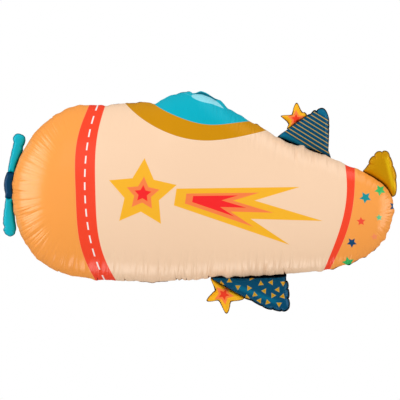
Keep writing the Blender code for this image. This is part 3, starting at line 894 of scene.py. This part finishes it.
neck_bottom = min(height_of(lower_edge, NECK_X + side * NECK_HALF_WIDTH) for side in (-1, 1))
neck_start, neck_end = NECK_PATH[0, 0], NECK_PATH[-1, 0]
bm = bmesh.new()
bmesh.ops.create_grid(bm, x_segments=26, y_segments=66, size=0.5)
for v in bm.verts:
    share, across = v.co.y + 0.5, v.co.x * 2
    run = neck_start + share * (neck_end - neck_start)
    past_corner = max(NECK_CORNER - (neck_end - run), 0)
    cut = NECK_CORNER - math.sqrt(max(NECK_CORNER**2 - past_corner**2, 0))
    ridge = SEAL_RIDGE * sum(bell(run - seal, SEAL_HALF) for seal in NECK_SEALS)
    ripple = RIPPLE * share * math.sin(RIPPLE_WAVES * run + RIPPLE_SLANT * across) * across**2
    height = np.interp(run, NECK_PATH[:, 0], NECK_PATH[:, 1])
    v.co = (NECK_X + across * (NECK_HALF_WIDTH - cut), run, neck_bottom + height - ridge + ripple)
bmesh.ops.smooth_vert(bm, verts=bm.verts[:], factor=0.5, use_axis_z=True)
bmesh.ops.solidify(bm, geom=bm.faces[:], thickness=NECK_FILMS)
bmesh.ops.recalc_face_normals(bm, faces=bm.faces[:])


def neck_print(u, v, edge):
    from_middle = abs(u - (NECK_X / PIXEL + ORIGIN_PIXEL[0]))
    side_seal = 0.5 - abs(from_middle - (NECK_HALF_WIDTH - SIDE_SEAL) / PIXEL)
    return over(NECK_COLOUR, NECK_FROST, inside(side_seal)), 0.0, NECK_VARNISH


neck_film = foil_finish("neck_film_finish", neck_print, NECK_ROUGHNESS)
finished("filling_neck", bm, "fuselage", ["inflation_neck"], neck_film)

# %% [markdown]
# Wings, stars, fin and propeller are chambers of the same foil, both sheets in one closed piece. Where two
# join, the edge is flat and straight, and the foil of the larger one bulges past it in a lip.

# %% Where chambers join
FREE_EDGE, STILL_EDGE = (2 * MM, 6 * MM), (1 * MM, 4 * MM)
LIP_NEAR, LIP_TAPER = 4 * MM, 0.12
JOINTS = {joint["name"]: joint for joint in frame["joints"]}


def seam_stretch(start, end, depth, count=7):
    """Side-view points along the fuselage's seam between two pixels, moved in by a depth."""
    a, b = along_seam(start), along_seam(end)
    if abs(b - a) > seam_length / 2:
        b += seam_length if b < a else -seam_length
    places = np.linspace(a, b, count) % seam_length
    picked = [int(np.argmin(np.abs(seam_places - place))) for place in places]
    return np.array([seam[i] + inward_way[i] * depth for i in picked])


def crease_of(joint, towards):
    """A joint's crease: a point on it, and the direction across it to the outer chamber."""
    pos, axis = JOINTS[joint]["pos_m"], JOINTS[joint]["axis"]
    point = np.array([pos[0], pos[2]])
    across = np.array([-float(axis[2]), float(axis[0])])
    across /= np.linalg.norm(across)
    return point, across * (1 if (towards - point) @ across > 0 else -1)


def outside_seam(points):
    """How far outside the fuselage's outline each point lies; negative inside it."""
    away = np.linalg.norm(points[:, None] - outline[None], axis=2).min(axis=1)
    top = height_of(upper_edge, points[:, 0], left=-1, right=-1)
    bottom = height_of(lower_edge, points[:, 0], left=1, right=1)
    return np.where((points[:, 1] < top) & (points[:, 1] > bottom), -away, away)


def beyond_crease(crease):
    """A function that gives how far each point lies beyond the crease."""
    point, across = crease
    return lambda points: (points - point) @ across


def beside_star(edge, start, end):
    """Beside the weld that carries a star: how free the edge is, and how much of the lip is there."""
    length = np.linalg.norm(end - start)
    run = (end - start) / length
    off_line = np.abs((edge - start) @ np.array([-run[1], run[0]]))
    share = (edge - start) @ run / length
    off_weld = np.maximum(off_line, length * (np.abs(share - 0.5) - 0.5))
    lip = ramp(off_line, LIP_NEAR, 0) * ramp(np.minimum(share, 1 - share), 0, LIP_TAPER)
    return ramp(off_weld, *STILL_EDGE), lip


# %% [markdown]
# The free edge is scalloped: each gather pulls it in, the foil between two gathers bulges out as a round
# lobe, and a pucker runs in from each. Some are given one by one, as pixels with depths in mm.

# %% Gathers of a free edge
GATHER_PEAK, GATHER_SLANT, GATHER_WIDTHS, MARK_WIDTH = 6 * MM, 0.12, (0.11, 0.17), 2.4 * MM


def gathers_of(draw, edge, places, total, spacing, deep, marks):
    """Puckers for a free edge's gathers, drawn at random unless marks name their pixels and depths."""
    gathers = draw_puckers(draw, total, spacing, deep, GATHER_PEAK, GATHER_SLANT)
    gathers[:, 1] = spacing * draw.uniform(*GATHER_WIDTHS, len(gathers))
    if not marks:
        return gathers
    spots = [places[np.argmin(np.linalg.norm(edge - place_of(pixel), axis=1))] for *pixel, _ in marks]
    depths = [sunk * MM for *_, sunk in marks]
    return np.array(sorted((spot, MARK_WIDTH, depth, GATHER_PEAK, 0) for spot, depth in zip(spots, depths)))


def scallops(gathers, places, total):
    """How far the free edge is drawn in: each gather's own depth at it, and nothing midway."""
    behind = ((places[:, None] - gathers[:, 0]) % total).min(axis=1)
    before = ((gathers[:, 0] - places[:, None]) % total).min(axis=1)
    lobe = 2 * np.minimum(behind, before) / (behind + before + TINY)
    nearest = np.abs(apart(places[:, None], gathers[:, 0], total)).argmin(axis=1)
    return gathers[nearest, 2] * (1 - np.sqrt(1 - (1 - lobe) ** 2))


# %% [markdown]
# A chamber's sheet rises from its weld as a pillow does, in a section a little fuller than an ellipse. The
# ring of the edge grows one sheet to the left and another to the right.

# %% A puffed chamber
CHAMBER_STEP, LOOP_STEPS = 0.9 * MM, 12
CHAMBER_WELD, ROOT_WELD, WELD_CHANGE = 2.6 * MM, 5 * MM, (-4 * MM, 1 * MM)
SECTION_ANGLES = np.radians([0, 7, 14, 21, 28, 35, 42, 49, 56, 63, 70, 76, 82, 86, 90])
FULLNESS, WELD_STEP = 2.8, 0.35 * MM
EDGE_SWAY, EDGE_SWAY_WAVE, EDGE_SWAY_FADE = 0.8 * MM, 12 * MM, 6 * MM
FINE_SPACING, FINE_DEPTH, FINE_PEAK, FINE_SLANT = 6 * MM, 0.16 * MM, 7 * MM, 0.3
STAR_LIP, LIP_CREST, LIP_SPREAD = 4.6 * MM, 13 * MM, 7 * MM


def puffed_chamber(
    points, ridge, half, gather, seed, stand_off=outside_seam, welds=(), wrinkle=0.3, root_shade=1.5, marks=(),
):
    """A closed chamber from its side-view outline.

    Stand_off gives how far a point is from what the chamber is welded to, because it is flat there. Welds carry
    another chamber. Wrinkle is how much the foil sinks in from the gathers.
    """
    draw = np.random.default_rng(seed)
    edge, foot, places, total = cut_columns(smooth_loop(points, LOOP_STEPS), ridge, CHAMBER_STEP)
    way = (foot - edge) / np.linalg.norm(foot - edge, axis=1)[:, None]
    stands = stand_off(edge)
    free, lip = ramp(stands, *FREE_EDGE), np.zeros(len(edge))
    for start, end in welds:
        freedom, lip_share = beside_star(edge, start, end)
        free, lip = free * freedom, lip + STAR_LIP * lip_share
    weld = np.interp(stands, WELD_CHANGE, (ROOT_WELD, CHAMBER_WELD))
    gathers = gathers_of(draw, edge, places, total, gather[0] * MM, gather[1] * MM, marks)
    pull = scallops(gathers, places, total) * free
    sway = EDGE_SWAY * wander(draw, places, total, EDGE_SWAY_WAVE) * free
    fine = draw_puckers(draw, total, FINE_SPACING, FINE_DEPTH, FINE_PEAK, FINE_SLANT)

    shares = np.cos(SECTION_ANGLES)
    shares[-1] = 0
    inner = edge + way * (weld + pull)[:, None]
    flat = np.concatenate([(edge + way * pull[:, None])[None], foot + (inner - foot) * shares[:, None, None]])
    rise = np.concatenate([[0], WELD_STEP + half * MM * np.sqrt(1 - shares**FULLNESS)])
    sheets = []
    for direction in (-1, 1):
        height = np.repeat(direction * rise[:, None], len(edge), axis=1)
        grid = np.stack([flat[..., 0], height, flat[..., 1]], -1)
        inwards = distances_in(grid)
        past_weld = np.maximum(inwards - weld, 0)
        sink = sunk_by(gathers, places, total, past_weld) * free * wrinkle
        sink += sunk_by(fine, places, total, past_weld)
        sink *= np.sqrt(np.concatenate([[1], shares]))[:, None]
        grid -= outward_normals(grid, direction) * sink[..., None]
        grid[..., 1] += sway * bell(inwards, EDGE_SWAY_FADE, 1)
        slide(grid, way, -lip * bell(inwards - LIP_CREST, LIP_SPREAD))
        # root_shade lengthens the painted weld shade where the root lies inside what it is welded to, and
        # shortens it when negative.
        sheets.append((grid, inwards + root_shade * np.minimum(stands, 0)))
    return sew_sheets(sheets)


# %% [markdown]
# A chamber bends on its weld, but here each is made as a piece for its CAD node and then taken off its body
# again, with its place baked into its mesh.

# %% Chambers as pieces
CREASE_SPAN = (7 * MM, 4 * MM)


def hang_chamber(name, node, foil, form, crease, body=None, span=CREASE_SPAN):
    """A chamber as a piece for its CAD node, taken off its body again with its place baked into its mesh."""
    body = body or node
    piece = finished(name, form, body, [node], foil)
    point, across = crease
    start, end = point - across * span[0], point + across * span[1]
    piece.parent = None
    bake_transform(piece)


# %% [markdown]
# The chambers' colours go darkest at their welds, a painted shade: nearly black on the blue wings, brown on
# the yellow stars and the mustard fin. A dark edge is a width and a softness in mm, and a shine is a share of
# metal and a share of varnish.

# %% The chambers' prints
# The dark edge colours below are painted shade at the chambers' welds and roots.
WING_BLUE, WING_PAINTED_HIGHLIGHT, WING_EDGE_SHADE = linear(0, 78, 114), linear(0, 108, 144), linear(0, 8, 20)
STRIPE = linear(212, 174, 62)
# The bright mustard here, like the bright wing blue above, is a painted highlight.
FIN_COLOUR, FIN_PAINTED_HIGHLIGHT, FIN_EDGE_SHADE = linear(212, 152, 0), linear(240, 192, 16), linear(130, 84, 0)
STAR_EDGE_SHADE, STAR_HEART = linear(108, 64, 4), linear(240, 58, 28)
BLADE_COLOUR, BLADE_EDGE_SHADE = linear(0, 180, 200), linear(0, 104, 128)
HUB_COLOUR, HUB_EDGE_SHADE = linear(0, 62, 100), linear(0, 34, 66)
STRIPED_DARK, TRIANGLES_DARK, STAR_DARK, FIN_DARK = (5.8, 2.4), (9.0, 2.6), (3.7, 2.0), (2.4, 1.6)
BLADE_DARK, HUB_DARK = (1.6, 1.8), (1.6, 2.0)
WING_SHINE, STAR_SHINE, FIN_SHINE = (0.14, 0.02), (0.0, 0.06), (0.2, 0.0)
BLADE_SHINE, HUB_SHINE = (0.0, 0.08), (0.0, 0.05)


def plain_print_and_painted_shade(ink, edge_shade, dark, shine):
    return lambda u, v, edge: (edged(ink, edge_shade, edge, *dark), *shine)


def star_print_and_painted_shade(centre, turn, layers):
    def paint(u, v, edge):
        colour = edged(YELLOW, STAR_EDGE_SHADE, edge, *STAR_DARK)
        for reach, ink in layers:
            colour = over(colour, ink, inside(star_distance(u, v, centre, reach, turn)))
        return colour, *STAR_SHINE
    return paint


# %% [markdown]
# The upper wing's stripes are one line repeated at a period, and the lower wing's triangles are each a
# centre and a turn. A painted highlight lies along the crest of the lower wing and of the fin, and the upper
# wing's blue is painted paler round its stripes as a painted highlight.

# %% Stripes, triangles and crests
STRIPE_TILT, STRIPE_PERIOD, STRIPE_FIRST, STRIPE_COUNT, STRIPE_HALF = math.radians(31.5), 3.88, -68.5, 9, 0.36
TRIANGLES = [
    (221.5, 283.6, 100), (229.4, 280.8, 90), (237.9, 287, 270), (248.9, 288.1, 0), (251.3, 278, 115),
    (260.9, 283.6, 95), (271.2, 282.4, 180), (283.1, 283.2, 270), (264.3, 291, 176), (277.7, 289.7, 182),
    (254.8, 294.6, 100), (273, 295.4, 0), (282.7, 296.3, 72), (247, 297.4, 100), (259.4, 300.6, 176),
    (267.6, 302.2, 105), (279.1, 304.2, 270),
]
TRIANGLE_REACH, TRIANGLE_BORDER = 3.1, 0.7
WING_CREST, WING_CREST_WIDTH = ((232, 284.5), (281, 304)), 4.0
FIN_CREST, FIN_CREST_WIDTH = ((385.6, 154), (394.6, 192)), 3.4
CREST_FADE = 0.112


def striped_wing_print_and_painted_light(u, v, edge):
    down = v * math.cos(STRIPE_TILT) - u * math.sin(STRIPE_TILT)
    phase = (down - STRIPE_FIRST) * (1 / STRIPE_PERIOD)
    beside = abs((phase + 0.5).maths("FRACT") - 0.5) * STRIPE_PERIOD
    field = least(phase + 0.5, STRIPE_COUNT - 0.5 - phase)
    # Round the stripes the blue is painted paler: a painted highlight.
    colour = over(WING_PAINTED_HIGHLIGHT, WING_BLUE, inside(field))
    colour = over(colour, STRIPE, inside(least(STRIPE_HALF - beside, field)))
    return edged(colour, WING_EDGE_SHADE, edge, *STRIPED_DARK), *WING_SHINE


def crest_highlight(u, v, line, width):
    """The painted highlight along a chamber's crest: 1 on the line, fading to its sides and its ends."""
    along, length = along_line(u, v, *line)
    light = 1 - abs(beside_line(u, v, *line)) * (1 / width)
    return soft_ramp(least(light, along * CREST_FADE, (length - along) * CREST_FADE), 0, 1)


def triangle_wing_print_and_painted_light(u, v, edge):
    colour = over(WING_BLUE, WING_PAINTED_HIGHLIGHT, crest_highlight(u, v, WING_CREST, WING_CREST_WIDTH))
    for across, down, turn in TRIANGLES:
        signed = triangle_distance(u, v, (across, down), TRIANGLE_REACH, turn)
        colour = over(colour, STRIPE, inside(signed))
        colour = over(colour, MUSTARD, inside(signed - TRIANGLE_BORDER))
    return edged(colour, WING_EDGE_SHADE, edge, *TRIANGLES_DARK), *WING_SHINE


def fin_print_and_painted_light(u, v, edge):
    colour = over(FIN_COLOUR, FIN_PAINTED_HIGHLIGHT, crest_highlight(u, v, FIN_CREST, FIN_CREST_WIDTH))
    return edged(colour, FIN_EDGE_SHADE, edge, *FIN_DARK), *FIN_SHINE


# %% [markdown]
# The wings' roots run a little way into the fuselage's groove, so its lips stand in front of them. Their free
# edges are traced from the photograph.

# %% Wings
UPPER_WING_EDGE = place_of([
    (277.3, 137.2), (281.2, 133.6), (286.6, 130), (293.9, 124.8), (301.1, 119.7), (306.9, 115.2),
    (310.8, 112.9), (313.4, 110.4), (316.6, 108.8), (318.6, 107.9), (321.4, 107.4), (324, 108.2),
    (326.2, 110.6), (327.8, 114), (329.1, 118.2), (329.5, 122), (329.4, 128), (329.2, 134), (329.1, 139),
    (328.8, 145), (328.6, 150), (328.6, 152.6), (329.4, 154.8), (330.8, 157.4),
])
UPPER_WING_GATHERS = [
    (310.6, 113.3, 1.2), (315.9, 109.2, 4.6), (329.4, 123.7, 1.2), (329.3, 128.7, 1), (329.2, 133.7, 1.2),
    (329.1, 138.5, 1.3), (328.9, 142.8, 1.2), (328.7, 147.6, 1.3),
]
LOWER_WING_EDGE = place_of([
    (286.4, 274.6), (287.2, 278), (288.6, 283.5), (289.2, 288), (289.6, 293.1), (290, 299), (290.2, 304),
    (288.9, 309), (285, 312), (280, 311.8), (275.3, 310.8), (270, 310), (265, 308.4), (259.3, 305.5),
    (254.8, 303.1), (250, 301.1), (246, 299.7), (243.2, 298), (235.7, 292.4), (227.4, 287.7), (219.1, 283),
    (211.2, 278.4),
])
LOWER_WING_GATHERS = [
    (287.4, 279.6, 4.2), (289.2, 288, 3.2), (290, 298.8, 4.2), (282.3, 312, 3.2), (272.7, 310.4, 2.4),
    (262, 307, 1.6), (252, 302, 2),
]
UPPER_STAR_WELD = place_of([(277.4, 136.8), (308.4, 114.7)])
LOWER_STAR_WELD = place_of([(211, 278), (245.4, 297.6)])
WING_ROOT_DEPTH, WING_HALF = 3.6 * MM, 23

for wing, free_edge, marks, ridge, root_ends, star_weld, gather, shade, seed, paint in (
    ("upper_wing", UPPER_WING_EDGE, UPPER_WING_GATHERS, [(297, 135), (321, 127)], ((329, 156), (278.5, 138.5)),
     UPPER_STAR_WELD, (20, 3.2), 2.2, 31, striped_wing_print_and_painted_light),
    ("lower_wing", LOWER_WING_EDGE, LOWER_WING_GATHERS, [(241, 286.5), (274, 293)], ((213, 278), (285.5, 275)),
     LOWER_STAR_WELD, (17, 3.8), 2.6, 32, triangle_wing_print_and_painted_light),
):
    ridge = place_of(ridge)
    points = np.vstack([free_edge, seam_stretch(*root_ends, WING_ROOT_DEPTH)])
    form = puffed_chamber(
        points, ridge, WING_HALF, gather, seed, welds=[star_weld], root_shade=shade, marks=marks,
    )
    foil = foil_finish(paint.__name__, paint)
    hang_chamber(f"{wing}_chamber", wing, foil, form, crease_of(f"{wing}_crease", ridge[0]))

# %% [markdown]
# The stars on the wings' leading edges are small plump chambers with nested stars in their print.

# %% Wing stars
UPPER_STAR_EDGE = place_of([
    (280.8, 115.8), (284.5, 115), (291.6, 114.2), (293.4, 107.8), (295, 103.9), (296.6, 102.7), (298.2, 104),
    (299.9, 107.6), (302.6, 112), (304.6, 112), (306.8, 114.2), (306.6, 116.4), (301.5, 120), (296, 123.9),
    (290.9, 127.6), (288.1, 129.2), (286.9, 128.4), (288.2, 124.2), (284.5, 119.8), (281.5, 117.4),
])
LOWER_STAR_EDGE = place_of([
    (243.8, 297.2), (243.4, 299.3), (238.5, 300.9), (231.5, 302), (229.9, 307.5), (228.5, 312),
    (226.7, 313.7), (224.7, 312.4), (221.7, 306.5), (218.3, 301), (212.5, 301.5), (208, 301.7),
    (206.4, 300.2), (207.8, 297.6), (211.6, 293.2), (215.1, 289.4), (212.8, 284.2), (210.6, 279),
    (212.2, 278.4), (220, 283.4), (228, 287.9), (236, 292.5),
])

for side, star_edge, centre, turn, layers, seed in (
    ("upper", UPPER_STAR_EDGE, (296.1, 118.9), 90, [(9.2, SALMON), (4.9, STAR_HEART)], 41),
    ("lower", LOWER_STAR_EDGE, (223.8, 294.5), 135, [(10.4, SALMON), (5.6, STAR_HEART)], 42),
):
    middle = place_of(centre)
    crease = crease_of(f"{side}_star_crease", middle)
    form = puffed_chamber(
        star_edge, [middle, middle], half=12, gather=(13, 1.2), stand_off=beyond_crease(crease), seed=seed,
        wrinkle=0.1, root_shade=-3,
    )
    foil = foil_finish(f"{side}_star_print_and_painted_shade", star_print_and_painted_shade(centre, turn, layers))
    hang_chamber(f"{side}_star_chamber", f"{side}_wing_star", foil, form, crease)

# %% [markdown]
# The tail fin has the clearest scallops of all the chambers, and one long soft painted highlight on its ridge.

# %% Tail fin
FIN_FREE_EDGE = place_of([
    (362.9, 171.3), (365.7, 166.3), (368.6, 160.9), (371.9, 156.2), (376.4, 151.9), (380.5, 150.6),
    (385.3, 150.4), (388.8, 152.6), (391.4, 158.6), (394.3, 167), (396.5, 174.5), (396.9, 181), (397, 188),
    (395.9, 194.4), (393.3, 196.7),
])
FIN_GATHERS = [
    (367.4, 163, 4.2), (373.6, 154.6, 4), (382, 150.5, 4.2), (390.2, 155.8, 2), (393.8, 165.4, 2.4),
    (396.8, 179.2, 1.8),
]
FIN_RIDGE = place_of([(381, 167), (391, 180)])

fin_root = seam_stretch((391.5, 196), (365, 172), depth=3.4 * MM)
form = puffed_chamber(
    np.vstack([FIN_FREE_EDGE, fin_root]), FIN_RIDGE, half=15, gather=(14.5, 4.6), seed=51, wrinkle=0.1,
    marks=FIN_GATHERS,
)
fin_crease = crease_of("tail_fin_crease", FIN_RIDGE[0])
hang_chamber("tail_fin_chamber", "tail_fin", foil_finish("fin_print_and_painted_light", fin_print_and_painted_light), form, fin_crease)

# %% [markdown]
# The propeller is a hub with a blade above and below, welded to the nose: one foil form with two pinches, so
# hub and blades are chambers that meet end to end.

# %% Propeller
HUB_EDGE_LINE = place_of([
    (7.4, 172), (5.6, 175.4), (4.3, 180), (3.8, 185), (4.3, 190), (5.2, 194), (5.1, 197.4), (7.2, 199),
    (10, 199), (13, 198.8), (15.4, 197.5), (15, 190), (15.2, 184), (16, 176), (15.6, 172.6), (10.4, 171.8),
])
UPPER_BLADE_EDGE = place_of([
    (7.9, 172.8), (8.2, 167.5), (9.9, 158), (11.8, 149.5), (13.4, 142.6), (12.8, 139), (14, 135.4),
    (17.2, 133.5), (21.4, 134.1), (24.6, 136.4), (25.6, 139.6), (24.8, 143.6), (23.2, 147.6), (22.8, 151.5),
    (20.2, 158.5), (17.6, 165.5), (15.6, 172.8), (10.8, 172.8),
])
LOWER_BLADE_EDGE = place_of([
    (5.7, 197.6), (5, 202), (3.9, 210), (3.2, 217), (2.9, 223), (4, 227), (3.2, 230), (5.4, 234.2),
    (9.6, 236.5), (13.6, 235.3), (15.9, 231.4), (16.2, 226), (15.4, 221.5), (14.9, 216), (14.2, 208),
    (13.9, 202), (13.7, 197.6), (8.6, 197.6),
])
PROPELLER_SPAN = (9 * MM, 6 * MM)

blade_foil = foil_finish("blade_print_and_painted_shade", plain_print_and_painted_shade(BLADE_COLOUR, BLADE_EDGE_SHADE, BLADE_DARK, BLADE_SHINE))
hub_foil = foil_finish("hub_print_and_painted_shade", plain_print_and_painted_shade(HUB_COLOUR, HUB_EDGE_SHADE, HUB_DARK, HUB_SHINE))
propeller_crease = crease_of("propeller_crease", HUB_EDGE_LINE[3])
for name, node, points, ridge, half, gather, slot, foil, seed in (
    ("propeller_hub", "propeller_hub", HUB_EDGE_LINE, [(8.8, 180), (9, 191)], 10, (11, 0.6),
     "hub_foil", hub_foil, 61),
    ("upper_blade", "upper_propeller_blade", UPPER_BLADE_EDGE, [(11.6, 167), (18.6, 140)], 9, (16, 1.2),
     "blade_foil", blade_foil, 62),
    ("lower_blade", "lower_propeller_blade", LOWER_BLADE_EDGE, [(8.4, 203), (9.4, 229)], 9, (16, 1.4),
     "blade_foil", blade_foil, 63),
):
    form = puffed_chamber(points, place_of(ridge), half, gather, seed)
    hang_chamber(
        f"{name}_chamber", node, foil, form, propeller_crease, body="propeller", span=PROPELLER_SPAN,
    )

# %% [markdown]
# The balloon floats at rest in a plain white studio, well above the floor, which isn't mirrored in the foil.

# %% Floor
bm = bmesh.new()
bmesh.ops.create_circle(bm, cap_ends=True, segments=96, radius=3)
bmesh.ops.translate(bm, verts=bm.verts[:], vec=(0, 0, -1))
floor_mesh = bpy.data.meshes.new("floor")
bm.to_mesh(floor_mesh)
bm.free()
pale_floor = bpy.data.materials.new("pale_floor")
pale_floor.use_nodes = True
floor_shader = pale_floor.node_tree.nodes["Principled BSDF"]
floor_shader.inputs["Base Color"].default_value = (0.82, 0.815, 0.8, 1)
floor_shader.inputs["Roughness"].default_value = 0.7
floor_mesh.materials.append(pale_floor)
floor = in_scene("floor", floor_mesh)
floor.visible_glossy = False

# %% [markdown]
# The walls are the light. Four big soft boxes, before the nose, behind the tail, above and below, only show
# as the pale streaks where the foil mirrors them. Each is its wall and side, its middle and half width from
# front to back, its middle and half height the other way, and its power.

# %% Studio light
HORIZON, BELOW, ABOVE, SIDE_LIGHT, BACK_LIGHT = 0.4, 0.97, 1.02, 0.14, 0.12
MIRRORED_WALLS, GLOW_START, GLOW_FULL = 0.08, 1.7, 0.4

world = bpy.data.worlds.new("white_studio")
world.use_nodes = True
sky = world.node_tree
background = sky.nodes["Background"]
towards = Ink(sky, sky.nodes.new("ShaderNodeTexCoord").outputs["Generated"])
sideways, backwards, upwards = towards.parts()
daylight = soft_ramp(upwards, -HORIZON, HORIZON, BELOW, ABOVE) - sideways * SIDE_LIGHT - backwards * BACK_LIGHT
SOFT_BOXES = [
    (sideways, -1, 0.04, 0.40, upwards, 0.10, 0.50, 4.0), (sideways, 1, 0.05, 0.30, upwards, 0.06, 0.46, 3.3),
    (upwards, -1, 0.18, 0.22, sideways, 0.0, 0.24, 2.8), (upwards, 1, 0.15, 0.24, sideways, 0.42, 0.26, 1.3),
]
mirrored_light = MIRRORED_WALLS
for wall, side, middle_back, half_width, across, middle, half_height, power in SOFT_BOXES:
    off_back, off_across = (backwards - middle_back) * (1 / half_width), (across - middle) * (1 / half_height)
    glow = soft_ramp(off_back * off_back + off_across * off_across, GLOW_START, GLOW_FULL, 0, power)
    mirrored_light = glow * (wall * side).maths("GREATER_THAN", 0) + mirrored_light
ray = sky.nodes.new("ShaderNodeLightPath")
mirrored, seen = (Ink(sky, ray.outputs[kind]) for kind in ("Is Glossy Ray", "Is Camera Ray"))
brightness = most(daylight + (mirrored_light - daylight) * mirrored, seen)
sky.links.new(brightness.socket, background.inputs["Strength"])
background.inputs["Color"].default_value = (1, 1, 1, 1)
bpy.context.scene.world = world
bpy.context.scene.view_settings.view_transform = "Standard"

LAMP_PLACE = Vector((-1.6, -3.2, 2.6))
lamp_data = bpy.data.lights.new("soft_lamp", "AREA")
lamp_data.size, lamp_data.energy = 2.5, 6
lamp = in_scene("soft_lamp", lamp_data)
lamp.location = LAMP_PLACE
lamp.rotation_euler = (-LAMP_PLACE).to_track_quat("-Z", "Y").to_euler()

# %% [markdown]
# The camera stands square to the seam, and its lens makes one pixel 2.5 mm wide there.

# %% Camera
camera = bpy.data.cameras.new("portrait")
camera.sensor_fit = "HORIZONTAL"
camera.lens = camera.sensor_width * CAMERA_DISTANCE / (PICTURE_WIDTH * PIXEL)
camera.clip_end = 50
viewer = in_scene("portrait", camera)
centre_x, centre_z = place_of(PICTURE_CENTRE)
viewer.location = (centre_x, -CAMERA_DISTANCE, centre_z)
viewer.rotation_euler = (math.pi / 2, 0, 0)
bpy.context.scene.camera = viewer
